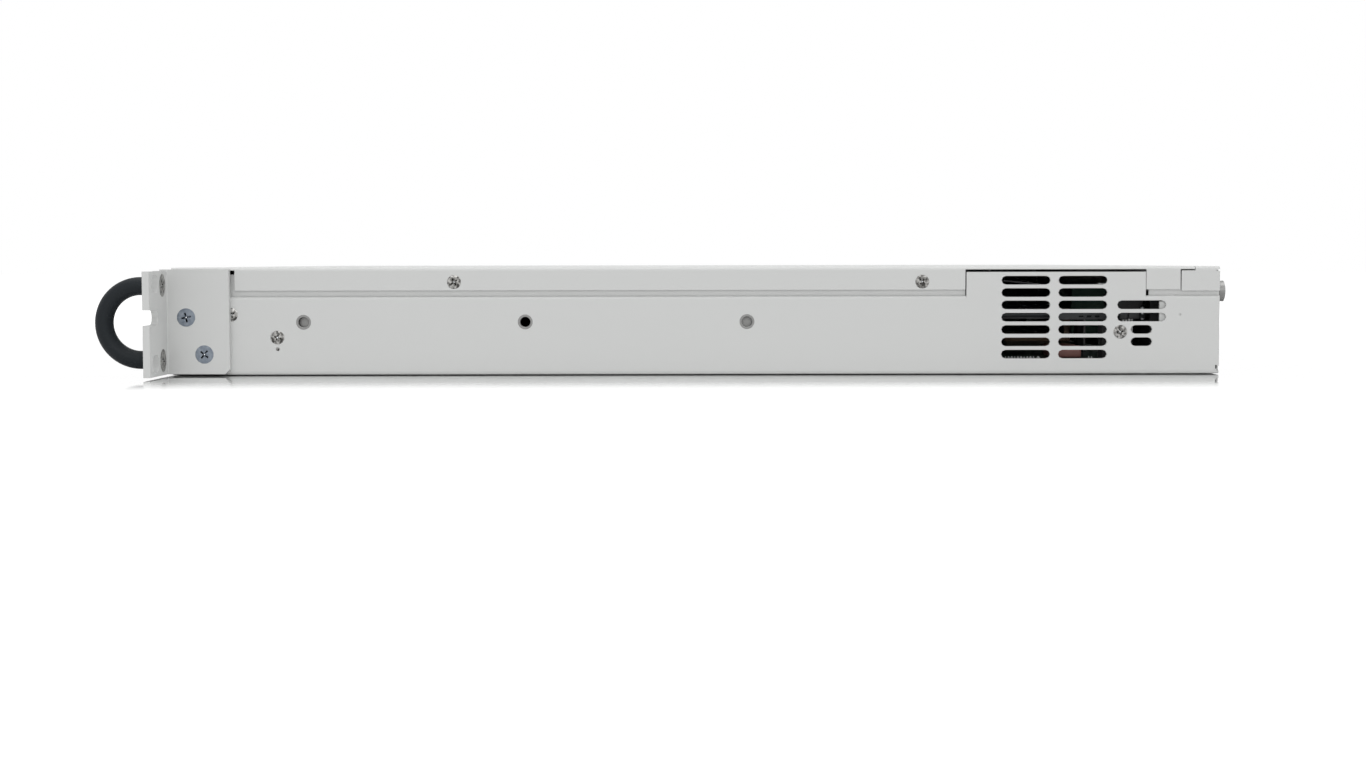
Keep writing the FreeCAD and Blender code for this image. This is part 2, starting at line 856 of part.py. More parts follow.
def make_power_switch():
    x = centred(switch_x, switch_width - 2 * fit_gap)
    z = centred(control_height, switch_height - 2 * fit_gap)
    body = block(x, (y_front, y_front + switch_body_depth), z)
    bezel = block((x[0] - switch_bezel, x[1] + switch_bezel), (y_front - switch_bezel_depth, y_front),
                  (z[0] - switch_bezel, z[1] + switch_bezel))
    well_depth = rocker_axis_depth + rocker_tail + 2 * rocker_gap
    well = block((x[0] + switch_wall, x[1] - switch_wall),
                 (y_front - switch_bezel_depth - 1, y_front + well_depth),
                 (z[0] + switch_wall, z[1] - switch_wall))
    keep("switch_body", without(joined([body, bezel]), [well]))

    # the rocker is a wedge with two faces that meet at a dull angle, leaning towards off
    reach = switch_height / 2 - fit_gap - switch_wall - rocker_gap
    face = y_front - switch_bezel_depth
    axis_y = y_front + rocker_axis_depth
    slope = math.tan(math.radians(rocker_tilt))
    front_reach = reach - (axis_y - face) * slope
    rise = front_reach * slope
    tail = (axis_y + rocker_tail, rocker_tail)
    side = [(face, -front_reach), (face + rise, 0), (face, front_reach), (axis_y, reach),
            tail, (tail[0], -tail[1]), (axis_y, -reach)]
    width = (x[0] + switch_wall + rocker_gap, x[1] - switch_wall - rocker_gap)
    rocker = along_x([(a, control_height + b, 0.0) for a, b in side], width)
    rocker.rotate(V(switch_x, axis_y, control_height), V(1, 0, 0), -rocker_tilt)
    pivot = stud((width[0] - rocker_gap / 2, axis_y, control_height),
                 (width[1] + rocker_gap / 2, axis_y, control_height), rocker_pivot)
    keep("power_rocker", joined([rocker, pivot]))


def make_knobs():
    encoders = []
    for name, x in (("volt_knob", volt_knob_x), ("amp_knob", amp_knob_x)):
        back = y_front - knob_stand_off
        front = back - knob_length
        rings = [ring(V(x, y, control_height), V(0, 1, 0), radius, knob_side_count)
                 for y, radius in ((back, knob_radius), (front, knob_radius - knob_taper))]
        grip = taper(rings[0], rings[1])
        body_back = display_board_front - hole_gap
        body_front = body_back - encoder_depth
        stem = rod((x, back - 1, control_height), (x, body_back - 1, control_height), stem_radius)
        keep(name, grip.fuse(stem).removeSplitter())
        body = block(centred(x, encoder_size), (body_front, body_back), centred(control_height, encoder_size))
        nose = stud((x, body_front, control_height), (x, y_front, control_height), encoder_nose)
        bore = rod((x, y_front - 1, control_height), (x, body_back - 0.8, control_height),
                   stem_radius + stem_gap)
        encoders.append(joined([body, nose]).cut(bore))
    keep_group("encoders", encoders)


def make_display():
    y = (y_front + fit_gap / 2, y_front + fit_gap / 2 + window_thickness)
    window = block((window_left + hole_gap, window_right - hole_gap), y,
                   centred(control_height, window_height - 2 * hole_gap))
    keep("display_window", window)
    middle = (window_left + window_right) / 2
    depth = (y[1] + fascia_plate - window_thickness, display_board_front)
    modules = []
    for side in (-1, 1):
        x = centred(middle + side * digit_spacing / 2, digit_width)
        modules.append(block(x, depth, centred(control_height, digit_height)))
    keep_group("digit_displays", modules)
    board = block((display_board_left, display_board_right), (display_board_front, display_board_back),
                  (display_board_bottom, display_board_top))
    keep("display_board", board)
    spacers = []
    for x in (display_board_left + post_inset, display_board_right - post_inset):
        for z in (display_board_bottom + post_inset, display_board_top - post_inset):
            spacers.append(stud((x, y_panel, z), (x, display_board_front, z), post_radius, 6))
    keep_group("display_spacers", spacers)


def make_buttons():
    keys = []
    lamps = []
    number = 0
    key_front = display_board_front - key_switch_depth
    cap_back = y_front + fascia_plate
    stem_back = key_front - button_rest_gap - button_travel
    for x, z in button_places():
        number += 1
        front = y_front - button_proud
        cap = block(centred(x, button_width), (front, cap_back + button_travel), centred(z, button_height))
        stem = block(centred(x, button_stem), (cap_back, stem_back), centred(z, button_stem))
        keep("push_button_%d" % number, joined([cap, stem]))
        keys.append(block(centred(x, key_switch_size), (key_front, display_board_front),
                          centred(z, key_switch_size)))
        lamps.append(block(centred(x, lamp_size), (y_front, display_board_front),
                           centred(z + lamp_rise, lamp_size)))
    keep_group("key_switches", keys)
    keep_group("status_lamps", lamps)


def make_fans():
    z = fan_middle
    edge = fan_size / 2
    back = fan_front + fan_depth
    frames = []
    for number, x in enumerate(fan_places(), 1):
        frame = block((x - edge, x + edge), (fan_front, back), (z - edge, z + edge))
        bore = stud((x, fan_front - 1, z), (x, back + 1, z), fan_bore / 2, fan_flats)
        frame = frame.cut(bore)
        plate = (back - fan_plate, back)
        motor = block(centred(x, fan_motor_square), plate, centred(z, fan_motor_square))
        level = block((x - edge + 1, x + edge - 1), plate, centred(z, fan_strut))
        upright = block(centred(x, fan_strut), plate, (z - edge + 1, z + edge - 1))
        frames.append(joined([frame, motor, level, upright]))

        hub_front = fan_front + hub_front_gap
        hub_back = back - fan_plate - hub_rear_gap
        hub = stud((x, hub_front, z), (x, hub_back, z), hub_radius, hub_flats)
        blades = []
        tip = fan_bore / 2 * math.cos(math.pi / fan_flats) - blade_tip_gap
        middle = (hub_front + hub_back) / 2
        chord = (hub_back - hub_front - 1.0) / math.cos(math.radians(blade_angle))
        root = hub_radius * 0.8
        for i in range(blade_count):
            blade = block((x + root, x + tip), (middle - chord / 2, middle + chord / 2),
                          centred(z, blade_thickness))
            blade.rotate(V(x, middle, z), V(1, 0, 0), blade_angle)
            blade = blade.common(stud((x, hub_front, z), (x, hub_back, z), tip, fan_flats))
            blade.rotate(V(x, middle, z), V(0, 1, 0), 360.0 * i / blade_count)
            blades.append(blade)
        keep("fan_impeller_%d" % number, joined([hub] + blades))
    keep_group("fan_frames", frames)


def make_main_board():
    board = block((-board_half_width, board_half_width), (board_front, board_rear), (board_bottom, board_top))
    keep("main_board", board)
    posts = []
    for x in standoff_columns:
        for y in standoff_rows:
            posts.append(stud((x, y, floor_top), (x, y, board_bottom), standoff_across / math.sqrt(3), 6))
    keep_group("board_standoffs", posts)


def comb(x_back, direction, y, z):
    # finned extrusion: upright base plate with level fins that point inwards
    x_base = x_back - direction * sink_base
    x_tip = x_back - direction * sink_reach
    pieces = [block((x_back, x_base), y, z)]
    for i in range(sink_fin_count):
        low = z[0] + i * sink_fin_pitch
        pieces.append(block((x_base, x_tip), y, (low, low + sink_fin)))
    return joined(pieces)


def make_side_heatsinks():
    back = half - sheet - recess - sink_wall_gap
    z = (board_top + sink_bottom_gap, sink_top)
    for name, side in sides:
        for place, y in zip(("front", "rear"), sink_spans):
            keep("heatsink_%s_%s" % (place, name), comb(side * back, side, y, z))


def make_output_heatsink():
    x = centred(output_sink_x, output_sink_width)
    y = (output_sink_front, output_sink_rear)
    low = board_top + device_thickness
    pieces = [block(x, y, (low, low + sink_base))]
    pitch = (output_sink_width - sink_fin) / (output_sink_fins - 1)
    for i in range(output_sink_fins):
        left = x[0] + i * pitch
        pieces.append(block((left, left + sink_fin), y, (low, sink_top)))
    keep("output_heatsink", joined(pieces))
    devices = []
    for row in (-1, 1):
        for i in range(3):
            middle = (output_sink_front + output_sink_rear) / 2 + (i - 1) * device_pitch
            across = centred(output_sink_x + row * output_sink_width / 4, device_height)
            devices.append(block(across, centred(middle, device_width), (board_top, low)))
    keep_group("power_devices", devices)


def make_magnetics():
    width, length, height = transformer_core
    x = centred(transformer_x, width)
    y = centred(transformer_y, length)
    core = block(x, y, (board_top, board_top + height))
    window = block((x[0] + width / 5, x[1] - width / 5), (y[0] - 1, y[1] + 1),
                   (board_top + height / 6, board_top + height * 5 / 6))
    core = core.cut(window)
    keep("transformer_core", core)
    bobbin = block((x[0] + width / 5 + fit_gap, x[1] - width / 5 - fit_gap),
                   (y[0] - winding_overhang, y[1] + winding_overhang),
                   (board_top + height / 6 + fit_gap, board_top + height * 5 / 6 - fit_gap))
    keep("transformer_winding", bobbin)
    top = board_top + inductor_height
    inductor = stud((inductor_x, inductor_y, board_top), (inductor_x, inductor_y, top),
                    inductor_radius, fan_flats)
    bore = stud((inductor_x, inductor_y, board_top - 1), (inductor_x, inductor_y, top + 1),
                inductor_bore, fan_flats)
    keep("output_inductor", inductor.cut(bore))
    choke = block(centred(choke_x, choke_size[0]), centred(choke_y, choke_size[1]),
                  (board_top, board_top + choke_size[2]))
    hole = block(centred(choke_x, choke_window), centred(choke_y, choke_size[1] + 2),
                 centred(board_top + choke_size[2] / 2, choke_window))
    keep("filter_choke", choke.cut(hole))


def make_capacitors():
    cans = []
    for i in range(bulk_count):
        x = bulk_x - i * bulk_pitch
        z = board_top + bulk_radius
        cans.append(stud((x, bulk_y, z), (x, bulk_y + bulk_length, z),
                         bulk_radius / math.cos(math.pi / small_side_count), small_side_count))
    keep_group("bulk_capacitors", cans)
    film = block((film_cap_edge - film_cap_width, film_cap_edge),
                 (film_cap_front, film_cap_front + film_cap_length), (board_top, board_top + film_cap_height))
    keep("film_capacitor", film)
    z = (daughter_board_height, daughter_board_height + board_sheet)
    x = (daughter_board_edge - daughter_board_width, daughter_board_edge)
    board = block(x, (daughter_board_front, daughter_board_rear), z)
    posts = [stud((a, b, board_top), (a, b, z[0]), post_radius, 6)
             for a in (x[0] + post_inset, x[1] - post_inset) for b in filter_post_rows]
    keep("filter_board", board)
    keep_group("filter_board_posts", posts)


def make_inlet():
    x = centred(inlet_x, inlet_body[0])
    z = centred(inlet_z, inlet_body[1])
    proud = y_rear + inlet_flange_depth
    body = block(x, (y_rear - inlet_depth, y_rear), z)
    flange = block(centred(inlet_x, inlet_flange[0]), (y_rear, proud), centred(inlet_z, inlet_flange[1]))
    half_wide, half_high = inlet_cavity[0] / 2, inlet_cavity[1] / 2
    cut = inlet_corner
    mouth = [(-half_wide, -half_high), (half_wide, -half_high), (half_wide, half_high - cut),
             (half_wide - cut, half_high), (-half_wide + cut, half_high), (-half_wide, half_high - cut)]
    floor = proud - inlet_cavity_depth
    cavity = along_y([(inlet_x + a, inlet_z + b) for a, b in mouth], (floor, proud + 1))
    keep("mains_inlet", without(joined([body, flange]), [cavity]))
    pins = []
    for side, lift in ((-1, -pin_offset), (0, pin_offset), (1, -pin_offset)):
        middle = inlet_x + side * pin_spacing / 2
        pins.append(block(centred(middle, pin_width), (floor, floor + pin_length),
                          centred(inlet_z + lift, pin_height)))
    keep_group("inlet_pins", pins)


def make_terminals():
    width = terminal_ways * terminal_pitch
    x = centred(terminal_x, width)
    z = centred(terminal_z, terminal_height)
    proud = y_rear + terminal_proud
    block_body = block(x, (proud - terminal_depth, proud), z)
    mouths = []
    for i in range(terminal_ways):
        middle = x[0] + (i + 0.5) * terminal_pitch
        low = z[0] + terminal_mouth_rise
        mouths.append(block(centred(middle, terminal_mouth), (proud - terminal_mouth_depth, proud + 1),
                            (low, low + terminal_mouth)))
        screw = z[1] - terminal_screw_drop
        mouths.append(stud((middle, proud - terminal_screw_depth, screw), (middle, proud + 1, screw),
                           terminal_screw_mouth / 2))
    keep("output_terminals", block_body.cut(mouths))
    bars = []
    bar_end = proud - terminal_depth
    for side in (-1, 1):
        across = centred(terminal_x + side * terminal_pitch, bar_width)
        level = block(across, (output_sink_rear + bar_start_gap, bar_end),
                      (board_top, board_top + bar_thickness))
        upright = block(across, (bar_end - bar_thickness, bar_end), (board_top, terminal_z))
        bars.append(joined([level, upright]))
    keep_group("output_bars", bars)


def make_connectors():
    front = y_rear + connector_proud
    inside = y_rear - connector_depth
    sense = block(centred(sense_x, sense_width), (inside, front), centred(connector_z, sense_height))
    entries = []
    pitch = (sense_width - 2 * sense_edge) / sense_ways
    for i in range(sense_ways):
        middle = sense_x - sense_width / 2 + sense_edge + (i + 0.5) * pitch
        entries.append(block(centred(middle, sense_entry), (front - sense_entry_depth, front + 1),
                             centred(connector_z - sense_edge, sense_entry)))
    keep("sense_connector", sense.cut(entries))
    tall, slope = analog_shell[1] / 2, math.tan(math.radians(analog_slope)) * analog_shell[1]
    wide = analog_shell[0] / 2
    shell = along_y([(analog_x - wide, connector_z + tall), (analog_x + wide, connector_z + tall),
                     (analog_x + wide - slope, connector_z - tall),
                     (analog_x - wide + slope, connector_z - tall)],
                    (inside, y_rear + analog_shell_proud))
    flange = block(centred(analog_x, analog_width), (y_rear, y_rear + analog_plate),
                   centred(connector_z, analog_height))
    keep("analog_connector", joined([shell, flange]))
    body = block(centred(lan_x, lan_size[0]), (front - lan_depth, front), centred(connector_z, lan_size[1]))
    mouth = block(centred(lan_x, lan_mouth[0]), (front - lan_mouth_depth, front + 1),
                  centred(connector_z, lan_mouth[1]))
    latch = block(centred(lan_x, lan_mouth[0] / 2), (front - lan_mouth_depth, front + 1),
                  (connector_z, connector_z + lan_mouth[1] / 2 + lan_latch))
    keep("network_socket", body.cut([mouth, latch]))


def make_ground_screw():
    back = y_rear + ground_head_depth
    head = stud((ground_x, y_rear, ground_z), (ground_x, back, ground_z), ground_head / 2)
    shank = stud((ground_x, y_rear - ground_length, ground_z), (ground_x, y_rear, ground_z), ground_shank / 2)
    keep("ground_screw", joined([head, shank]))


def write_parts():
    os.makedirs("parts", exist_ok=True)
    for name, shape in parts.items():
        shape.exportStep("parts/" + name + ".step")


make_chassis()
make_cover()
make_rear_rail()
make_rear_panel()
make_front_subpanel()
make_fascia()
make_ears_and_handles()
make_side_hardware()
make_power_switch()
make_knobs()
make_display()
make_buttons()
make_fans()
make_main_board()
make_side_heatsinks()
make_output_heatsink()
make_magnetics()
make_capacitors()
make_inlet()
make_terminals()
make_connectors()
make_ground_screw()
write_parts()
print(len(parts), "nodes")
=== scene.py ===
import json
from math import atan, cos, pi, radians, sin, tan

import bmesh
import bpy
from mathutils import Matrix, Vector


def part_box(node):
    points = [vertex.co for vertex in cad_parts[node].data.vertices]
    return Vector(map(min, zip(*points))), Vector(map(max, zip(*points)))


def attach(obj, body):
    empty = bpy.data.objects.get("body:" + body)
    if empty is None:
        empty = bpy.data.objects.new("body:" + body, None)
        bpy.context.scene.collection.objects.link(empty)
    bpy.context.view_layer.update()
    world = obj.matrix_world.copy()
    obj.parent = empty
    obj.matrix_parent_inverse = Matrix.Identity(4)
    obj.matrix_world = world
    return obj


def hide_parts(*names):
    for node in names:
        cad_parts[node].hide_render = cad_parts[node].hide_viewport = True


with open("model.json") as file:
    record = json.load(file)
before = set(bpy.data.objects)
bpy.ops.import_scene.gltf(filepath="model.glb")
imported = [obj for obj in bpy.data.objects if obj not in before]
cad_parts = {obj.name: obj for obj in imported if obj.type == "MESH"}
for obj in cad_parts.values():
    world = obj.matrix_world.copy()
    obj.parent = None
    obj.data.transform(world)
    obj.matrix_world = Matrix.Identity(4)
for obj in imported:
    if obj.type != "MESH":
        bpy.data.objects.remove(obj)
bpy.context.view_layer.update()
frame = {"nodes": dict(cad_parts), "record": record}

mm = 0.001
weldReach = 0.001 * mm
alongX = (0, pi / 2, 0)
alongY = (pi / 2, 0, 0)
nodes = frame["nodes"]
print("frame loaded with", len(nodes), "nodes")


# Small helpers for modelling by hand

def leaveEdit():
    bpy.ops.object.mode_set(mode="OBJECT")


def deselectAll():
    if bpy.context.mode != "OBJECT":
        leaveEdit()
    bpy.ops.object.select_all(action="DESELECT")


def pickOnly(*pieces):
    deselectAll()
    for piece in pieces:
        piece.select_set(True)
    bpy.context.view_layer.objects.active = pieces[0]


def settle(piece):
    # place, turn and size go into the mesh, so the object stays at the origin
    pickOnly(piece)
    bpy.ops.object.transform_apply(location=True, rotation=True, scale=True)
    return piece


def addCylinder(radius, depth, place, sides=48, turn=(0, 0, 0)):
    deselectAll()
    bpy.ops.mesh.primitive_cylinder_add(vertices=sides, radius=radius, depth=depth,
                                        location=place, rotation=turn)
    return settle(bpy.context.object)


def addRod(radius, x, z, front, back, sides):
    # cylinder that runs from front to back
    return addCylinder(radius, back - front, (x, (front + back) / 2, z), sides, alongY)


def addBlock(low, high):
    deselectAll()
    middle = [(a + b) / 2 for a, b in zip(low, high)]
    bpy.ops.mesh.primitive_cube_add(size=1, location=middle)
    piece = bpy.context.object
    piece.scale = [abs(b - a) for a, b in zip(low, high)]
    return settle(piece)


def addBar(x, z, wide, tall, front, back):
    # block that runs from front to back around a middle line
    return addBlock((x - wide / 2, front, z - tall / 2), (x + wide / 2, back, z + tall / 2))


def middleOf(low, high):
    return (low.x + high.x) / 2, (low.z + high.z) / 2


def startPicking(piece, kind):
    pickOnly(piece)
    bpy.ops.object.mode_set(mode="EDIT")
    bpy.ops.mesh.select_mode(type=kind)
    bpy.ops.mesh.select_all(action="DESELECT")
    return bmesh.from_edit_mesh(piece.data)


def pickFacing(piece, direction, least=0.9):
    # picks the faces that look in a direction, in edit mode
    mesh = startPicking(piece, "FACE")
    for face in mesh.faces:
        face.select_set(face.normal.dot(Vector(direction)) > least)
    bmesh.update_edit_mesh(piece.data)


def pickAll(piece):
    pickOnly(piece)
    bpy.ops.object.mode_set(mode="EDIT")
    bpy.ops.mesh.select_all(action="SELECT")


def roundLongEdges(piece, least, corner, segments):
    # rounds the edges that run from front to back over more than the least length
    mesh = startPicking(piece, "EDGE")
    for edge in mesh.edges:
        edge.select_set(abs(edge.verts[0].co.y - edge.verts[1].co.y) > least)
    bmesh.update_edit_mesh(piece.data)
    bpy.ops.mesh.bevel(offset=corner, segments=segments, affect="EDGES")
    leaveEdit()


def extrudeBy(step):
    bpy.ops.mesh.extrude_region_move(TRANSFORM_OT_translate={"value": step})


def insetBy(thickness):
    bpy.ops.mesh.inset(thickness=thickness)


def moveBy(step):
    bpy.ops.transform.translate(value=step)


def resizeBy(x, y, z):
    bpy.ops.transform.resize(value=(x, y, z))


def applyBevel(piece, width, segments=2, angle=40):
    pickOnly(piece)
    bevel = piece.modifiers.new("bevel", "BEVEL")
    bevel.width = width
    bevel.segments = segments
    bevel.limit_method = "ANGLE"
    bevel.angle_limit = radians(angle)
    bpy.ops.object.modifier_apply(modifier=bevel.name)


def applyCut(piece, cutter):
    pickOnly(piece)
    cut = piece.modifiers.new("cut", "BOOLEAN")
    cut.operation = "DIFFERENCE"
    cut.solver = "EXACT"
    cut.object = cutter
    bpy.ops.object.modifier_apply(modifier=cut.name)
    bpy.data.objects.remove(cutter)


def smooth(piece, angle=30):
    pickOnly(piece)
    bpy.ops.object.shade_smooth_by_angle(angle=radians(angle))


def duplicate(piece):
    copy = piece.copy()
    copy.data = piece.data.copy()
    bpy.context.collection.objects.link(copy)
    return copy


def joinPieces(pieces, name):
    pickOnly(*pieces)
    if len(pieces) > 1:
        bpy.ops.object.join()
    piece = bpy.context.object
    piece.name = name
    piece.data.name = name
    return piece


def copiesAt(model, places, name):
    # one copy of the model, with its own mesh, for each placing matrix
    copies = []
    for matrix in places:
        copy = duplicate(model)
        copy.data.transform(matrix)
        copies.append(copy)
    bpy.data.objects.remove(model)
    return joinPieces(copies, name)


def solidBoxes(nodeName):
    # lowest and highest corner of each separate solid in a CAD node
    mesh = bmesh.new()
    mesh.from_mesh(nodes[nodeName].data)
    bmesh.ops.remove_doubles(mesh, verts=mesh.verts, dist=weldReach)
    mesh.verts.index_update()
    mesh.verts.ensure_lookup_table()
    seen = set()
    boxes = []
    for start in mesh.verts:
        if start.index in seen:
            continue
        seen.add(start.index)
        group = []
        waiting = [start]
        while waiting:
            point = waiting.pop()
            group.append(point.co.copy())
            for edge in point.link_edges:
                other = edge.other_vert(point)
                if other.index not in seen:
                    seen.add(other.index)
                    waiting.append(other)
        low = Vector([min(p[i] for p in group) for i in range(3)])
        high = Vector([max(p[i] for p in group) for i in range(3)])
        boxes.append((low, high))
    mesh.free()
    return sorted(boxes, key=lambda b: tuple(b[0]))


def roundedCopy(nodeName, pieceName, width, segments=2):
    # merged copy of a CAD solid with its sharp edges eased
    source = nodes[nodeName]
    piece = bpy.data.objects.new(pieceName, source.data.copy())
    bpy.context.collection.objects.link(piece)
    piece.matrix_world = source.matrix_world.copy()
    pickAll(settle(piece))
    bpy.ops.mesh.remove_doubles(threshold=weldReach)
    bpy.ops.mesh.dissolve_limited(angle_limit=radians(1))
    leaveEdit()
    applyBevel(piece, width, segments, 30)
    smooth(piece)
    return piece


def dress(piece, material, slotName, body, *replaced):
    # finish, body and the CAD nodes that the piece stands for
    piece.data.materials.clear()
    piece.data.materials.append(materials[material])
    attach(piece, body)
    if replaced:
        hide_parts(*replaced)
    return piece


def assemble(pieces, name, angle, *dressing):
    # one named piece, smoothed where it has an angle, and dressed
    piece = joinPieces(pieces, name)
    if angle:
        smooth(piece, angle)
    return dress(piece, *dressing)


# Shared effects

def feed(tree, node, inputs):
    # each input takes a value, or a link from an output
    for name, value in inputs.items():
        if hasattr(value, "is_output"):
            tree.links.new(value, node.inputs[name])
        else:
            node.inputs[name].default_value = value


def makeNode(tree, kind, inputs=None, **settings):
    node = tree.nodes.new("ShaderNode" + kind)
    for name, value in settings.items():
        setattr(node, name, value)
    feed(tree, node, inputs or {})
    return node


def mathNode(tree, operation, first, second=0.0, clamp=False):
    return makeNode(tree, "Math", {0: first, 1: second}, operation=operation, use_clamp=clamp).outputs[0]


def noiseNode(tree, vector, scale, detail):
    return makeNode(tree, "TexNoise", {"Vector": vector, "Scale": scale, "Detail": detail}).outputs["Fac"]


def rangeNode(tree, value, *ends):
    # smooth passage from the first pair of values to the second
    inputs = dict(zip(("From Min", "From Max", "To Min", "To Max"), ends), Value=value)
    return makeNode(tree, "MapRange", inputs, interpolation_type="SMOOTHSTEP").outputs["Result"]


def mixColours(tree, factor, first, second):
    node = makeNode(tree, "Mix", data_type="RGBA")
    places = [i for i, socket in enumerate(node.inputs) if socket.enabled]
    feed(tree, node, dict(zip(places, (factor, first, second))))
    return [socket for socket in node.outputs if socket.enabled][0]


def aroundZero(tree, value, gain):
    # a noise of 0 to 1 shifted to swing around zero
    return mathNode(tree, "MULTIPLY", mathNode(tree, "SUBTRACT", value, 0.5), gain)


def newGroup(name, floats, vectors=()):
    # an effect with a colour, a second tone and a roughness, and inputs of its own
    group = bpy.data.node_groups.new(name, "ShaderNodeTree")
    rows = [("INPUT", "Color", "Color"), ("INPUT", "Color", "Tone"), ("INPUT", "Float", "Roughness")]
    rows += [("INPUT", "Float", title) for title in floats] + [("INPUT", "Vector", title) for title in vectors]
    rows += [("OUTPUT", "Color", "Color"), ("OUTPUT", "Float", "Roughness"), ("OUTPUT", "Float", "Height")]
    for way, kind, title in rows:
        group.interface.new_socket(name=title, in_out=way, socket_type="NodeSocket" + kind)
    return group, group.nodes.new("NodeGroupInput").outputs


def endGroup(group, start, mask, shift, height):
    feed(group, group.nodes.new("NodeGroupOutput"), {
        "Color": mixColours(group, mask, start["Color"], start["Tone"]), "Height": height,
        "Roughness": mathNode(group, "ADD", start["Roughness"], shift, clamp=True)})
    return group


def makeGrainGroup():
    # fine grain, broad tone shifts and dust for painted, moulded and plated faces; on the screws the tone
    # patches are small and strong and paint mottled reflections
    group, start = newGroup(
        "surfaceGrain", ("Grain Scale", "Tone Amount", "Tone Scale", "Tone Contrast", "Roughness Spread"))
    place = makeNode(group, "TexCoord").outputs["Object"]
    fine = noiseNode(group, place, start["Grain Scale"], 2.0)
    broad = noiseNode(group, place, start["Tone Scale"], 4.0)
    speck = noiseNode(group, place, 260.0, 1.0)
    patches = mathNode(group, "ADD", aroundZero(group, broad, start["Tone Contrast"]), 0.5, clamp=True)
    toneMask = mathNode(group, "MULTIPLY", patches, start["Tone Amount"], clamp=True)
    return endGroup(group, start, toneMask, aroundZero(group, speck, start["Roughness Spread"]), fine)


def makeBrushGroup():
    # fine lines along one axis, for drawn and extruded metal
    group, start = newGroup("drawnLines", (), ("Stretch",))
    place = makeNode(group, "TexCoord").outputs["Object"]
    stretch = makeNode(group, "VectorMath", {0: place, 1: start["Stretch"]}, operation="MULTIPLY")
    lines = noiseNode(group, stretch.outputs[0], 1.0, 3.0)
    return endGroup(group, start, lines, aroundZero(group, lines, 0.25), lines)


grainGroup = makeGrainGroup()
brushGroup = makeBrushGroup()
materials = {}


def makeMaterial(name, colour, tone=None, grain=900.0, toneAmount=0.35, roughness=0.5, spread=0.12,
                 metallic=0.0, bump=0.05, reach=0.05 * mm, coat=0.0, brushed=None, softEdge=0.0, specular=0.5,
                 toneScale=14.0, toneContrast=1.0):
    material = bpy.data.materials.new(name)
    material.use_nodes = True
    tree = material.node_tree
    tone = tone or [c * 0.86 for c in colour]
    values = {"Color": (*colour, 1.0), "Tone": (*tone, 1.0), "Roughness": roughness}
    if brushed:
        values["Stretch"] = brushed
    else:
        values.update({"Grain Scale": grain, "Tone Amount": toneAmount, "Tone Scale": toneScale,
                       "Tone Contrast": toneContrast, "Roughness Spread": spread})
    effect = makeNode(tree, "Group", values, node_tree=brushGroup if brushed else grainGroup).outputs
    dent = makeNode(tree, "Bump", {"Strength": bump, "Distance": reach, "Height": effect["Height"]})
    if softEdge:
        edge = makeNode(tree, "Bevel", {"Radius": softEdge}, samples=4)
        feed(tree, dent, {"Normal": edge.outputs["Normal"]})
    feed(tree, tree.nodes["Principled BSDF"], {
        "Base Color": effect["Color"], "Roughness": effect["Roughness"], "Metallic": metallic,
        "Coat Weight": coat, "Coat Roughness": 0.15, "Specular IOR Level": specular,
        "Normal": dent.outputs["Normal"]})
    materials[name] = material
    return material


makeMaterial("greyPaint", (0.585, 0.592, 0.585), tone=(0.55, 0.557, 0.552), grain=2600.0, roughness=0.46,
             bump=0.12, softEdge=0.25 * mm)
makeMaterial("frontMoulding", (0.56, 0.565, 0.56), grain=3000.0, bump=0.12, softEdge=0.3 * mm)
makeMaterial("handleCoat", (0.0145, 0.018, 0.021), grain=1500.0, bump=0.1, specular=0.15)
# painted reflection: the small dark tone patches paint the mottled glints on the bracket screw heads
makeMaterial("zincBlue", (0.26, 0.29, 0.33), tone=(0.14, 0.165, 0.20), toneAmount=1.0, roughness=0.3,
             metallic=1.0, bump=0.2, toneScale=500.0, toneContrast=2.0)
# painted reflection: the strong small dark tone patches paint the mottled bright and dark reflections on the
# screw heads
makeMaterial("nickelBright", (0.46, 0.455, 0.44), tone=(0.06, 0.059, 0.056), grain=1100.0, toneAmount=1.0,
             roughness=0.3, metallic=1.0, bump=0.35, reach=0.1 * mm, toneScale=850.0, toneContrast=4.0)
makeMaterial("nutSteel", (0.27, 0.27, 0.265), tone=(0.16, 0.16, 0.16), grain=600.0, roughness=0.45,
             metallic=1.0)
makeMaterial("blackPlastic", (0.018, 0.018, 0.02), grain=1800.0, roughness=0.55, bump=0.15)
makeMaterial("glossBlack", (0.02, 0.02, 0.022), roughness=0.25, coat=0.3)
makeMaterial("knobPlastic", (0.05, 0.052, 0.056), grain=1600.0, roughness=0.48, bump=0.12)
makeMaterial("markWhite", (0.8, 0.8, 0.78))
makeMaterial("buttonPlastic", (0.32, 0.33, 0.335), grain=2200.0, bump=0.1)
makeMaterial("boardGreen", (0.007, 0.022, 0.014), tone=(0.009, 0.032, 0.020), grain=400.0, roughness=0.35,
             coat=0.3)
makeMaterial("boardDark", (0.008, 0.010, 0.011), tone=(0.012, 0.015, 0.016), grain=400.0, roughness=0.4,
             specular=0.15)
makeMaterial("partGrey", (0.035, 0.038, 0.04))
makeMaterial("partPale", (0.16, 0.165, 0.17), grain=700.0)
makeMaterial("tinnedMetal", (0.50, 0.50, 0.485), tone=(0.38, 0.38, 0.37), grain=500.0, toneAmount=0.8,
             roughness=0.36, metallic=1.0, toneScale=120.0, toneContrast=2.0)
makeMaterial("edgeTin", (0.5, 0.52, 0.53), grain=700.0, roughness=0.4, metallic=0.6)
makeMaterial("solderTin", (0.85, 0.86, 0.86), grain=700.0, roughness=0.4)
makeMaterial("blackAnodised", (0.014, 0.014, 0.016), tone=(0.024, 0.024, 0.026), roughness=0.45, specular=0.3,
             brushed=(900.0, 14.0, 900.0))
makeMaterial("lampGreen", (0.25, 0.55, 0.22), roughness=0.25, coat=0.5)
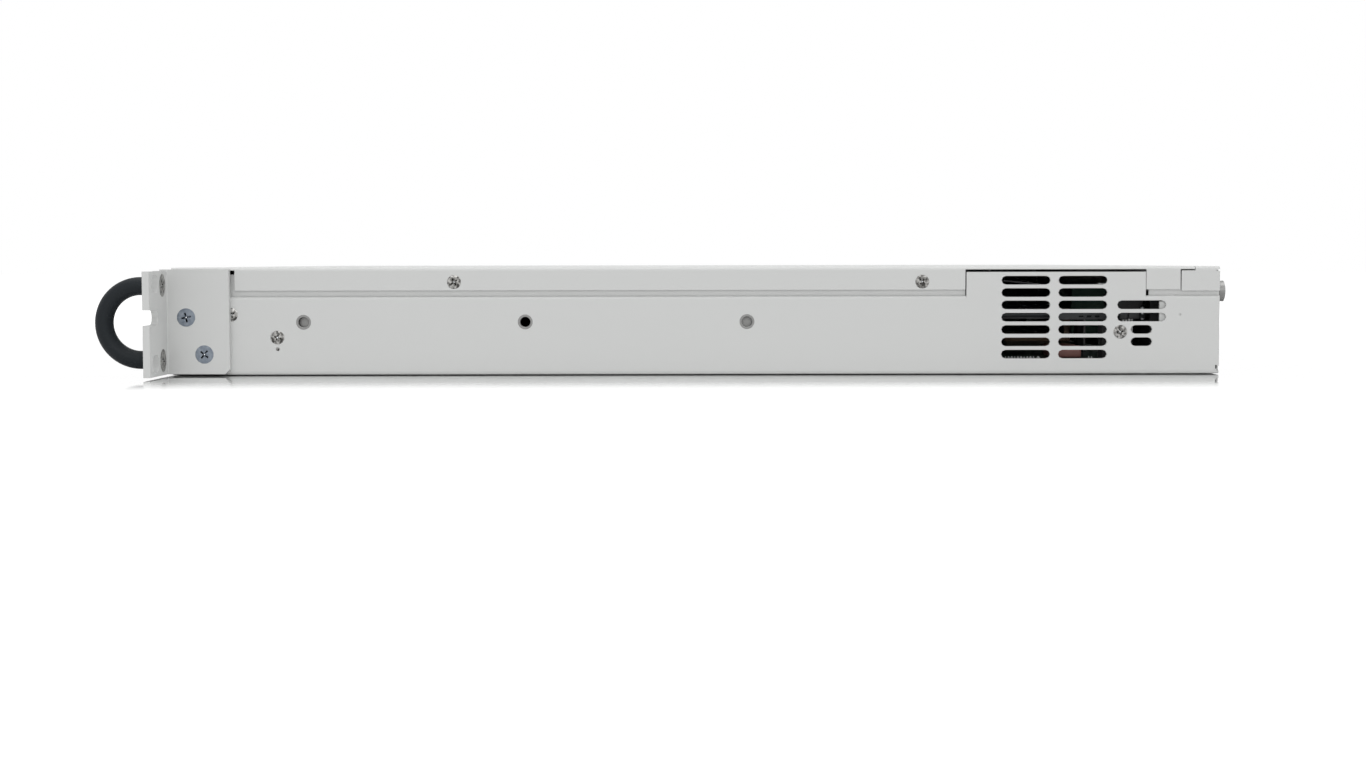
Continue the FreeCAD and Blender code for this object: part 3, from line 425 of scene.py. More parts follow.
makeMaterial("deviceBlack", (0.025, 0.025, 0.026), grain=1500.0, roughness=0.6)
makeMaterial("ferriteGrey", (0.06, 0.06, 0.064), grain=700.0, roughness=0.7, bump=0.2)
makeMaterial("enamelWinding", (0.016, 0.010, 0.007), tone=(0.026, 0.014, 0.008), roughness=0.4, bump=0.3,
             brushed=(60.0, 1400.0, 60.0))
makeMaterial("sleeveBlue", (0.03, 0.04, 0.08), roughness=0.3, coat=0.3)
makeMaterial("filmBrown", (0.30, 0.14, 0.12), grain=600.0)
makeMaterial("terminalGreen", (0.03, 0.075, 0.05), grain=1400.0)
makeMaterial("tinnedCopper", (0.28, 0.19, 0.14), grain=400.0, metallic=1.0)
makeMaterial("displayFace", (0.022, 0.022, 0.024), roughness=0.3, coat=0.3)
makeMaterial("segmentOff", (0.30, 0.31, 0.30), roughness=0.4)
# painted glint: bright zinc for the pips in the screw recesses
makeMaterial("glintZinc", (0.82, 0.85, 0.88), grain=800.0, roughness=0.25, metallic=1.0)
makeMaterial("goldPlate", (0.78, 0.58, 0.26), grain=800.0, roughness=0.3, metallic=1.0)
tinted = makeMaterial("tintedAcrylic", (0.62, 0.63, 0.64), tone=(0.58, 0.59, 0.60), roughness=0.05,
                      spread=0.02, bump=0.005).node_tree
feed(tinted, tinted.nodes["Principled BSDF"], {"Transmission Weight": 1.0, "IOR": 1.49})
print("materials made:", len(materials))

slotFinish = {
    "case_paint": "greyPaint", "front_plastic": "frontMoulding", "handle_coat": "handleCoat",
    "zinc_screw": "nickelBright", "black_plastic": "blackPlastic", "rocker_plastic": "glossBlack",
    "knob_plastic": "knobPlastic", "window_tint": "tintedAcrylic", "display_face": "displayFace",
    "circuit_board": "boardGreen", "post_metal": "tinnedMetal", "button_plastic": "buttonPlastic",
    "lamp_lens": "lampGreen", "heatsink_metal": "blackAnodised", "device_plastic": "deviceBlack",
    "ferrite": "ferriteGrey", "winding": "enamelWinding", "can_sleeve": "sleeveBlue",
    "film_case": "filmBrown", "terminal_plastic": "terminalGreen", "bus_copper": "tinnedCopper",
}
ownFinish = {"filter_board": "boardDark", "filter_board_posts": "deviceBlack"}
for row in frame["record"]["subparts"]:
    mesh = nodes[row["node"]].data
    finish = ownFinish.get(row["node"], slotFinish[row["material_slot"]])
    mesh.materials.clear()
    mesh.materials.append(materials[finish])
print("CAD nodes dressed")


# Camera, floor and light

view = {"stand": 825.0 * mm, "along": -1.4 * mm, "eye": 45.6 * mm, "focal": 53.74, "horizon": 122.0,
        "pixels": 2039.0, "roll": -0.0016, "bracket": 2.8 * mm}
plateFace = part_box("chassis")[1].x + view["bracket"]
cameraData = bpy.data.cameras.new("camera")
cameraData.sensor_width = 36.0
cameraData.lens = view["focal"]
cameraData.clip_start = 0.01
camera = bpy.data.objects.new("camera", cameraData)
camera.location = (plateFace + view["stand"], view["along"], view["eye"])
dip = atan(view["horizon"] / view["pixels"])
facing = Matrix.Rotation(pi / 2, 3, "Z") @ Matrix.Rotation(pi / 2 - dip, 3, "X")
camera.rotation_euler = (facing @ Matrix.Rotation(view["roll"], 3, "Z")).to_euler()
bpy.context.collection.objects.link(camera)
bpy.context.scene.camera = camera

floorSettings = {"size": 14.0, "drop": 0.27 * mm, "colour": 0.92, "lift": 0.1, "farLift": 0.52, "near": 0.32,
                 "far": 0.75, "sheenNear": 0.03, "sheenFar": 0.105, "sheenRoughness": 0.05, "sheen": 1.1}
deselectAll()
bpy.ops.mesh.primitive_plane_add(size=floorSettings["size"], location=(0, 0, -floorSettings["drop"]))
floor = settle(bpy.context.object)
floor.name = "floor"


def makeFloorMaterial():
    s = floorSettings
    white = (1, 1, 1, 1)
    material = bpy.data.materials.new("paleFloor")
    material.use_nodes = True
    tree = material.node_tree
    seen = makeNode(tree, "LightPath").outputs["Is Camera Ray"]
    place = makeNode(tree, "TexCoord").outputs["Object"]
    # the paper brightens to plain white away from the object
    reach = makeNode(tree, "VectorMath", {0: place}, operation="LENGTH").outputs["Value"]
    rise = rangeNode(tree, reach, s["near"], s["far"], s["lift"], s["farLift"])
    lift = mathNode(tree, "MULTIPLY", seen, rise)
    paper = tree.nodes["Principled BSDF"]
    feed(tree, paper, {"Roughness": 1.0, "Specular IOR Level": 0.0, "Base Color": (*[s["colour"]] * 3, 1),
                       "Emission Color": white, "Emission Strength": lift})
    # a low glance shows the case mirrored in the paper, fading with the distance from its foot
    parts = makeNode(tree, "SeparateXYZ", {0: place}).outputs
    gaps = []
    for axis, half in (("X", plateFace), ("Y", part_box("chassis")[1].y)):
        beyond = mathNode(tree, "SUBTRACT", mathNode(tree, "ABSOLUTE", parts[axis]), half)
        beyond = mathNode(tree, "MAXIMUM", beyond)
        gaps.append(mathNode(tree, "MULTIPLY", beyond, beyond))
    away = mathNode(tree, "SQRT", mathNode(tree, "ADD", *gaps))
    fade = rangeNode(tree, away, s["sheenNear"], s["sheenFar"], s["sheen"], 0.0)
    glance = makeNode(tree, "LayerWeight", {"Blend": 0.5}).outputs["Facing"]
    low = mathNode(tree, "MULTIPLY", glance, glance)
    amount = mathNode(tree, "MULTIPLY", mathNode(tree, "MULTIPLY", fade, low), seen, clamp=True)
    mirror = makeNode(tree, "BsdfGlossy", {"Roughness": s["sheenRoughness"], "Color": white})
    blend = makeNode(tree, "MixShader", {"Fac": amount, 1: paper.outputs["BSDF"], 2: mirror.outputs["BSDF"]})
    feed(tree, tree.nodes["Material Output"], {"Surface": blend.outputs["Shader"]})
    return material


floor.data.materials.append(makeFloorMaterial())

world = bpy.data.worlds.new("studio")
bpy.context.scene.world = world
world.use_nodes = True
sky = world.node_tree
strength = {"light": 0.56, "seen": 1.0}
path = makeNode(sky, "LightPath").outputs
direct = mathNode(sky, "MAXIMUM", path["Is Camera Ray"], path["Is Glossy Ray"])
gain = mathNode(sky, "MULTIPLY", direct, strength["seen"] - strength["light"])
total = mathNode(sky, "ADD", gain, strength["light"])
feed(sky, sky.nodes["Background"], {"Strength": total, "Color": (1, 1, 1, 1)})


def addLamp(name, place, target, size, power):
    lampData = bpy.data.lights.new(name, "AREA")
    lampData.shape = "RECTANGLE"
    lampData.size, lampData.size_y = size
    lampData.energy = power
    lamp = bpy.data.objects.new(name, lampData)
    lamp.location = place
    lamp.rotation_euler = (Vector(target) - Vector(place)).to_track_quat("-Z", "Y").to_euler()
    bpy.context.collection.objects.link(lamp)


addLamp("overhead", (0.3, 0.0, 1.8), (0.1, 0, 0), (1.6, 1.6), 19.0)
addLamp("sideSoftbox", (2.2, -0.1, 0.9), (0.2, 0.0, 0.02), (1.2, 0.8), 7.5)
bpy.context.scene.view_settings.view_transform = "Standard"
print("camera, floor and light set")


# Screws with a cross recess

headRise = 1.35


def makeScrewHead(size):
    # head with its face at z = 0, pointing up, and a short shank below; its dome is headRise crowns high
    shape = {"taper": 0.94, "rim": 0.06, "dome": 0.2, "crossDepth": 0.75, "crossTaper": 0.45}
    head = addCylinder(size["head"] / 2, size["depth"], (0, 0, -size["depth"] / 2), sides=40)
    taper = size["shank"] / size["head"] if size["sunk"] else shape["taper"]
    pickFacing(head, (0, 0, -1))
    resizeBy(taper, taper, 1)
    pickFacing(head, (0, 0, 1))
    insetBy(size["head"] * shape["rim"])
    moveBy((0, 0, size["crown"]))
    insetBy(size["head"] * shape["dome"])
    moveBy((0, 0, size["crown"] * (headRise - 1)))
    leaveEdit()
    arms = (size["cross"] / 2, size["arm"] / 2)
    for x, y in (arms, arms[::-1]):
        slot = addBlock((-x, -y, -size["depth"] * shape["crossDepth"]),
                        (x, y, size["crown"] * headRise + 0.3 * mm))
        pickFacing(slot, (0, 0, -1))
        resizeBy(shape["crossTaper"], shape["crossTaper"], 1)
        leaveEdit()
        applyCut(head, slot)
    middle = -size["depth"] - size["length"] / 2 + 0.02 * mm
    shank = addCylinder(size["shank"] / 2, size["length"], (0, 0, middle), sides=20)
    screw = joinPieces([head, shank], "screwModel")
    smooth(screw)
    return screw


def screwPlace(box, axis, spin):
    # matrix that puts a model screw at a CAD screw, facing out along the axis
    low, high = box
    face = (low + high) / 2
    index = max(range(3), key=lambda i: abs(axis[i]))
    face[index] = high[index] if axis[index] > 0 else low[index]
    turn = Vector((0, 0, 1)).rotation_difference(Vector(axis)).to_matrix().to_4x4()
    return Matrix.Translation(face) @ turn @ Matrix.Rotation(radians(spin), 4, "Z")


def placeScrews(nodeName, pieceName, size, finish, axisOf, spins):
    boxes = solidBoxes(nodeName)
    places = []
    for i, box in enumerate(boxes):
        places.append(screwPlace(box, axisOf(box), spins[i % len(spins)]))
    piece = copiesAt(makeScrewHead(size), places, pieceName)
    dress(piece, finish, "zinc_screw", "enclosure", nodeName)
    # painted glint: a bright zinc pip in the middle of each cross stands for the light caught in its recess
    depth = size["depth"] * 0.6
    glintPip = addCylinder(size["arm"] * 0.42, depth, (0, 0, -depth / 2 - 0.1 * mm), sides=12)
    applyBevel(glintPip, 0.08 * mm, 1)
    dress(copiesAt(glintPip, places, pieceName + "RecessGlint"), "glintZinc", "zinc_screw", "enclosure")
    print(pieceName, "placed:", len(boxes))


def outwardX(box):
    return (1, 0, 0) if box[0].x > 0 else (-1, 0, 0)


def rearward(box):
    return (0, 1, 0)


smallScrew = {"head": 5.5 * mm, "depth": 1.0 * mm, "crown": 0.08 * mm, "shank": 3.0 * mm, "length": 2.0 * mm,
              "cross": 3.3 * mm, "arm": 0.75 * mm, "sunk": False}
bracketScrew = {"head": 7.4 * mm, "depth": 2.4 * mm, "crown": 0.03 * mm, "shank": 4.0 * mm,
                "length": 3.0 * mm, "cross": 4.3 * mm, "arm": 0.8 * mm, "sunk": True}
handleScrew = {"head": 9.2 * mm, "depth": 2.6 * mm, "crown": 0.03 * mm, "shank": 4.0 * mm, "length": 4.5 * mm,
               "cross": 5.0 * mm, "arm": 0.9 * mm, "sunk": True}
placeScrews("cover_screws", "coverScrews", smallScrew, "nickelBright", outwardX, (20, 64, 35, 50))
placeScrews("side_screws", "sideScrews", smallScrew, "nickelBright", outwardX, (10, 30, 55, 30, 72, 15))
placeScrews("bracket_screws", "bracketScrews", bracketScrew, "zincBlue", outwardX, (8, 40, 12, 50))
placeScrews("handle_screws", "handleScrews", handleScrew, "nickelBright", rearward, (15, 40, 65, 30))


# Threaded nuts for rack slides

def makeSlideNuts():
    size = {"ring": 6.0 * mm, "bore": 4.1 * mm, "depth": 3.0 * mm, "thread": 0.5 * mm, "cut": 0.12 * mm,
            "lip": 0.15 * mm}
    nut = addCylinder(size["ring"] / 2, size["depth"], (0, 0, -size["depth"] / 2), sides=40)
    pickFacing(nut, (0, 0, 1))
    insetBy((size["ring"] - size["bore"]) / 2 - size["lip"])
    insetBy(size["lip"])
    moveBy((0, 0, -size["lip"]))
    turns = int((size["depth"] - 2 * size["lip"]) / size["thread"])
    grow = (size["bore"] + 2 * size["cut"]) / size["bore"]
    for i in range(turns * 2):
        extrudeBy((0, 0, -size["thread"] / 2))
        factor = grow if i % 2 == 0 else 1 / grow
        resizeBy(factor, factor, 1)
    leaveEdit()
    smooth(nut, 35)
    # the middle nut of each side is open to the dark inside, the others have a heatsink close behind
    through = duplicate(nut)
    applyCut(through, addCylinder(size["bore"] / 2, size["depth"], (0, 0, -size["depth"]), sides=40))
    nutNodes = ("slide_nuts_right", "slide_nuts_left")
    blindPlaces, openPlaces = [], []
    for node in nutNodes:
        for i, box in enumerate(sorted(solidBoxes(node), key=lambda b: b[0].y)):
            places = openPlaces if i == 1 else blindPlaces
            places.append(screwPlace(box, outwardX(box), 0))
    nuts = [copiesAt(nut, blindPlaces, "blindNuts"), copiesAt(through, openPlaces, "openNuts")]
    assemble(nuts, "slideNuts", 35, "nutSteel", "zinc_screw", "enclosure", *nutNodes)
    print("slide nuts placed")


makeSlideNuts()


# Bow handles

def makeHandles():
    size = {"rod": 7.3 * mm, "sides": 40, "steps": 48}
    bows = []
    for low, high in solidBoxes("handles"):
        x, z = middleOf(low, high)
        root = high.y
        reach = (high.z - low.z) / 2 - size["rod"] / 2
        bend = low.y + size["rod"] / 2 + reach
        deselectAll()
        bpy.ops.mesh.primitive_circle_add(vertices=size["sides"], radius=size["rod"] / 2, fill_type="NGON",
                                          location=(x, root, z + reach), rotation=alongY)
        bow = settle(bpy.context.object)
        pickAll(bow)
        extrudeBy((0, bend - root, 0))
        bpy.ops.mesh.spin(steps=size["steps"], angle=-pi, center=(x, bend, z), axis=(1, 0, 0))
        extrudeBy((0, root - bend, 0))
        bpy.ops.mesh.select_all(action="SELECT")
        bpy.ops.mesh.remove_doubles(threshold=weldReach)
        bpy.ops.mesh.normals_make_consistent(inside=False)
        leaveEdit()
        bows.append(bow)
    assemble(bows, "bowHandles", 40, "handleCoat", "handle_coat", "enclosure", "handles")
    print("handles made")


makeHandles()


# Turned knobs with a fluted grip

def makeKnob(nodeName, body, pieceName):
    size = {"length": 12.0 * mm, "flutes": 36, "flute": 0.45 * mm, "skirt": 2.2 * mm, "crown": 0.6 * mm,
            "face": 0.93, "rim": 0.8 * mm, "dish": 0.35 * mm, "mark": 0.9 * mm, "markStart": 0.25,
            "markEnd": 0.72, "shaft": 3.0 * mm, "slack": 0.01 * mm}
    low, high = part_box(nodeName)
    x, z = middleOf(low, high)
    radius = (high.x - low.x) / 2
    front = low.y
    back = front + size["length"]
    sides = size["flutes"] * 4
    knob = addRod(radius - size["slack"], x, z, front, back, sides)
    # front face: rounded edge, shallow dish
    pickFacing(knob, (0, -1, 0))
    extrudeBy((0, 0, 0))
    resizeBy(size["face"], 1, size["face"])
    insetBy(size["rim"])
    moveBy((0, size["dish"], 0))
    # skirt at the back stays round, the grip ahead of it is fluted
    gripStart, gripEnd = front + size["crown"], back - size["skirt"]
    for y in (gripEnd, gripStart):
        pickAll(knob)
        bpy.ops.mesh.bisect(plane_co=(x, y, z), plane_no=(0, 1, 0))
    turns = [2 * pi * i / size["flutes"] for i in range(size["flutes"])]
    grooves = [(cos(turn), sin(turn)) for turn in turns]
    mesh = startPicking(knob, "VERT")
    for point in mesh.verts:
        across, up = point.co.x - x, point.co.z - z
        reach = (across * across + up * up) ** 0.5
        inGroove = max(gx * across + gz * up for gx, gz in grooves) > reach * cos(pi / sides * 1.2)
        onGrip = gripStart - size["slack"] < point.co.y < gripEnd + size["slack"]
        point.select_set(inGroove and onGrip and reach > radius * 0.9)
    bmesh.update_edit_mesh(knob.data)
    factor = 1 - size["flute"] / radius
    bpy.ops.transform.resize(value=(factor, 1, factor), center_override=(x, (front + back) / 2, z))
    leaveEdit()
    smooth(knob, 50)
    # pointer line let into the front face
    dish = front + size["dish"]
    line = addBlock((x - size["mark"] / 2, dish - 0.12 * mm, z + radius * size["markStart"]),
                    (x + size["mark"] / 2, dish + 0.05 * mm, z + radius * size["markEnd"]))
    applyBevel(line, 0.1 * mm, 1)
    assemble([line], pieceName + "Mark", None, "markWhite", "knob_plastic", body)
    shaft = addRod(size["shaft"], x, z, back, high.y, 40)
    applyBevel(shaft, 0.2 * mm, 1)
    smooth(shaft, 40)
    assemble([knob, shaft], pieceName, None, "knobPlastic", "knob_plastic", body, nodeName)


makeKnob("volt_knob", "volt_dial", "voltKnob")
makeKnob("amp_knob", "amp_dial", "ampKnob")
print("knobs made")


# Power rocker with on and off marks

def makeRocker():
    size = {"round": 0.35 * mm, "bar": 0.7 * mm, "barLength": 3.2 * mm, "ring": 1.5 * mm, "ink": 0.04 * mm}
    rocker = roundedCopy("power_rocker", "powerRocker", size["round"], 3)
    dress(rocker, "glossBlack", "rocker_plastic", "rocker", "power_rocker")
    # the marks lie on the two front faces
    faces = sorted([f for f in rocker.data.polygons if f.normal.y < -0.8], key=lambda f: -f.area)[:2]
    faces.sort(key=lambda f: -f.center.z)
    bar = addBar(0, 0, size["bar"], size["barLength"], -size["ink"], size["ink"])
    deselectAll()
    bpy.ops.mesh.primitive_torus_add(major_radius=size["ring"], minor_radius=size["bar"] / 2,
                                     major_segments=32, minor_segments=8, rotation=alongY)
    ring = settle(bpy.context.object)
    ring.scale = (1, size["ink"] / (size["bar"] / 2), 1)
    settle(ring)
    for mark, face in zip((bar, ring), faces):
        turn = Vector((0, -1, 0)).rotation_difference(face.normal).to_matrix().to_4x4()
        mark.data.transform(Matrix.Translation(face.center) @ turn)
    assemble([bar, ring], "rockerMarks", 40, "markWhite", "rocker_plastic", "rocker")
    print("rocker made")


makeRocker()


# Push buttons with rounded caps

def makeButtons():
    size = {"depth": 4.9 * mm, "round": 0.5 * mm, "rim": 0.5 * mm, "dish": 0.25 * mm, "stem": 3.0 * mm}
    for number in range(1, 7):
        name = "push_button_%d" % number
        low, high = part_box(name)
        x, z = middleOf(low, high)
        back = low.y + size["depth"]
        cap = addBlock(low, (high.x, back, high.z))
        applyBevel(cap, size["round"], 3)
        pickFacing(cap, (0, -1, 0), 0.95)
        insetBy(size["rim"])
        moveBy((0, size["dish"], 0))
        leaveEdit()
        stem = addBar(x, z, size["stem"], size["stem"], back, high.y)
        applyBevel(stem, 0.2 * mm, 1)
        assemble([cap, stem], "buttonCap%d" % number, 35, "buttonPlastic", "button_plastic",
                 "button_%d" % number, name)
    print("buttons made")


makeButtons()


# Small lamps with domed ends

def makeLamps():
    size = {"ease": 0.98, "dome": ((0.3, 0.9), (0.25, 0.75), (0.1, 0.5))}
    domes = []
    for low, high in solidBoxes("status_lamps"):
        radius = (high.x - low.x) / 2 * size["ease"]
        lamp = addRod(radius, *middleOf(low, high), low.y, high.y, 24)
        pickFacing(lamp, (0, -1, 0))
        for step, shrink in size["dome"]:
            extrudeBy((0, -radius * step, 0))
            resizeBy(shrink, 1, shrink)
        leaveEdit()
        domes.append(lamp)
    assemble(domes, "statusLamps", 45, "lampGreen", "lamp_lens", "enclosure", "status_lamps")
    print("lamps made")


makeLamps()


# Seven-segment figures behind the window

def makeFigures():
    size = {"height": 12.5 * mm, "width": 7.0 * mm, "bar": 1.5 * mm, "gap": 0.2 * mm, "lean": 0.12,
            "digits": 4, "point": 1.4 * mm, "pointOut": 1.9 * mm, "proud": 0.06 * mm, "sunk": 0.02 * mm}
    w, h, t = size["width"] / 2, size["height"] / 2, size["bar"]
    shapes = [(0, up, 2 * w - t - size["gap"], t) for up in (h, 0, -h)]
    shapes += [(out, up, t, h - t - size["gap"]) for up in (h / 2, -h / 2) for out in (-w, w)]
    cases = []
    for (low, high), pieceName in zip(solidBoxes("digit_displays"), ("voltFigures", "ampFigures")):
        case = addBlock(low, high)
        applyBevel(case, 0.2 * mm, 1)
        cases.append(case)
        pitch = (high.x - low.x) / size["digits"]
        front, back = low.y - size["proud"], low.y + size["sunk"]
        z = (low.z + high.z) / 2
        bars = []
        for digit in range(size["digits"]):
            x = low.x + (digit + 0.5) * pitch
            for out, up, wide, tall in shapes:
                bars.append(addBar(x + out + up * size["lean"], z + up, wide, tall, front, back))
            bars.append(addRod(size["point"] / 2, x + w + size["pointOut"], z - h, front, back, 16))
        piece = joinPieces(bars, pieceName)
        applyBevel(piece, 0.25 * mm, 1)
        dress(piece, "segmentOff", "display_face", "enclosure")
    assemble(cases, "digitModules", None, "displayFace", "display_face", "enclosure", "digit_displays")
    print("figures made")


makeFigures()


# Fans with swept blades

def fanMiddle(number):
    return middleOf(*solidBoxes("fan_frames")[number - 1])


def makeFanImpellers():
    size = {"hub": 9.0 * mm, "hubRim": 1.0 * mm, "hubDish": 0.3 * mm, "tip": 17.9 * mm, "blades": 7,
            "thick": 0.9 * mm, "sections": 7, "rootAngle": 50.0, "tipAngle": 32.0, "lead": 0.55,
            "sweep": 0.35, "bow": 0.10, "inHub": 0.96, "short": 1.4 * mm}
    for number in (1, 2, 3):
        name = "fan_impeller_%d" % number
        low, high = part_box(name)
        x, z = fanMiddle(number)
        front, back = low.y, high.y
        hub = addRod(size["hub"], x, z, front, back, 64)
        pickFacing(hub, (0, -1, 0))
        insetBy(size["hubRim"])
        moveBy((0, size["hubDish"], 0))
        leaveEdit()
        applyBevel(hub, 0.5 * mm, 2, 60)
        blades = []
        depth = back - front - size["short"]
        root = size["hub"] * size["inHub"]
        for blade in range(size["blades"]):
            deselectAll()
            bpy.ops.mesh.primitive_grid_add(x_subdivisions=size["sections"], y_subdivisions=8, size=1)
            leaf = settle(bpy.context.object)
            for point in leaf.data.vertices:
                u = point.co.x + 0.5
                v = point.co.y
                reach = root + u * (size["tip"] - root)
                angle = radians(size["rootAngle"] + u * (size["tipAngle"] - size["rootAngle"]))
                turn = 2 * pi * blade / size["blades"] + v * depth / reach * tan(angle) * size["lead"]
                turn += size["sweep"] * u * u + size["bow"] * (0.25 - v * v)
                y = (front + back) / 2 + v * depth
                point.co = Vector((x + reach * cos(turn), y, z + reach * sin(turn)))
            solid = leaf.modifiers.new("thick", "SOLIDIFY")
            solid.thickness = size["thick"]
            solid.offset = 0
            pickOnly(leaf)
            bpy.ops.object.modifier_apply(modifier=solid.name)
            pickAll(leaf)
            bpy.ops.mesh.normals_make_consistent(inside=False)
            leaveEdit()
            blades.append(leaf)
        assemble([hub] + blades, "fanImpeller%d" % number, 40, "blackPlastic", "black_plastic",
                 "impeller_%d" % number, name)
    print("impellers made")


def makeFanFrames():
    size = {"bore": 37.2 * mm, "corner": 3.0 * mm, "hole": 3.4 * mm, "inset": 4.0 * mm, "plate": 2.4 * mm,
            "motor": 9.4 * mm, "strut": 2.2 * mm, "struts": 4, "strutTurn": 0.5, "waist": 0.45 * mm,
            "waistTall": 24.0 * mm, "flange": 4.0 * mm, "over": 1.0 * mm}
    frames = []
    for low, high in solidBoxes("fan_frames"):
        x, z = middleOf(low, high)
        start, end = low.y - size["over"], high.y + size["over"]
        case = addBlock(low, high)
        roundLongEdges(case, (high.y - low.y) * 0.9, size["corner"], 4)
        applyCut(case, addRod(size["bore"] / 2, x, z, start, end, 72))
        for sx in (-1, 1):
            for sz in (-1, 1):
                holeX = x + sx * (high.x - low.x - 2 * size["inset"]) / 2
                holeZ = z + sz * (high.z - low.z - 2 * size["inset"]) / 2
                applyCut(case, addRod(size["hole"] / 2, holeX, holeZ, start, end, 20))
        for left, right in ((low.x - size["over"], low.x + size["waist"]),
                            (high.x - size["waist"], high.x + size["over"])):
            applyCut(case, addBar((left + right) / 2, z, right - left, size["waistTall"],
                                  low.y + size["flange"], high.y - size["flange"]))
        motor = addRod(size["motor"], x, z, high.y - size["plate"], high.y, 48)
        applyBevel(motor, 0.3 * mm, 1)
        pieces = [case, motor]
        for i in range(size["struts"]):
            turn = 2 * pi * i / size["struts"] + size["strutTurn"]
            strut = addBlock((size["motor"] * 0.9, -size["plate"] / 2, -size["strut"] / 2),
                             (size["bore"] / 2 + 0.4 * mm, size["plate"] / 2, size["strut"] / 2))
            applyBevel(strut, 0.3 * mm, 1)
            place = Matrix.Translation((x, high.y - size["plate"] / 2, z))
            strut.data.transform(place @ Matrix.Rotation(turn, 4, "Y"))
            pieces.append(strut)
        frames.append(joinPieces(pieces, "fanFrame"))
    assemble(frames, "fanFrames", 35, "blackPlastic", "black_plastic", "enclosure", "fan_frames")
    print("fan frames made")


def makeSubpanel():
    # the sheet behind the front moulding, its fan openings cut truly round
    size = {"round": 0.05 * mm, "search": 20.0 * mm, "ease": 0.01 * mm, "over": 2.0 * mm}
    panel = roundedCopy("front_subpanel", "frontSubpanel", size["round"], 1)
    low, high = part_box("front_subpanel")
    for number in (1, 2, 3):
        x, z = fanMiddle(number)
        reaches = [((p.co.x - x) ** 2 + (p.co.z - z) ** 2) ** 0.5 for p in panel.data.vertices]
        radius = max(reach for reach in reaches if reach < size["search"])
        applyCut(panel, addRod(radius + size["ease"], x, z, low.y - size["over"], high.y + size["over"], 96))
        print("fan opening", number, "radius", round(radius / mm, 2))
    smooth(panel)
    dress(panel, "greyPaint", "case_paint", "enclosure", "front_subpanel")


makeFanImpellers()
makeFanFrames()
makeSubpanel()


# Small parts inside, seen through the side vents

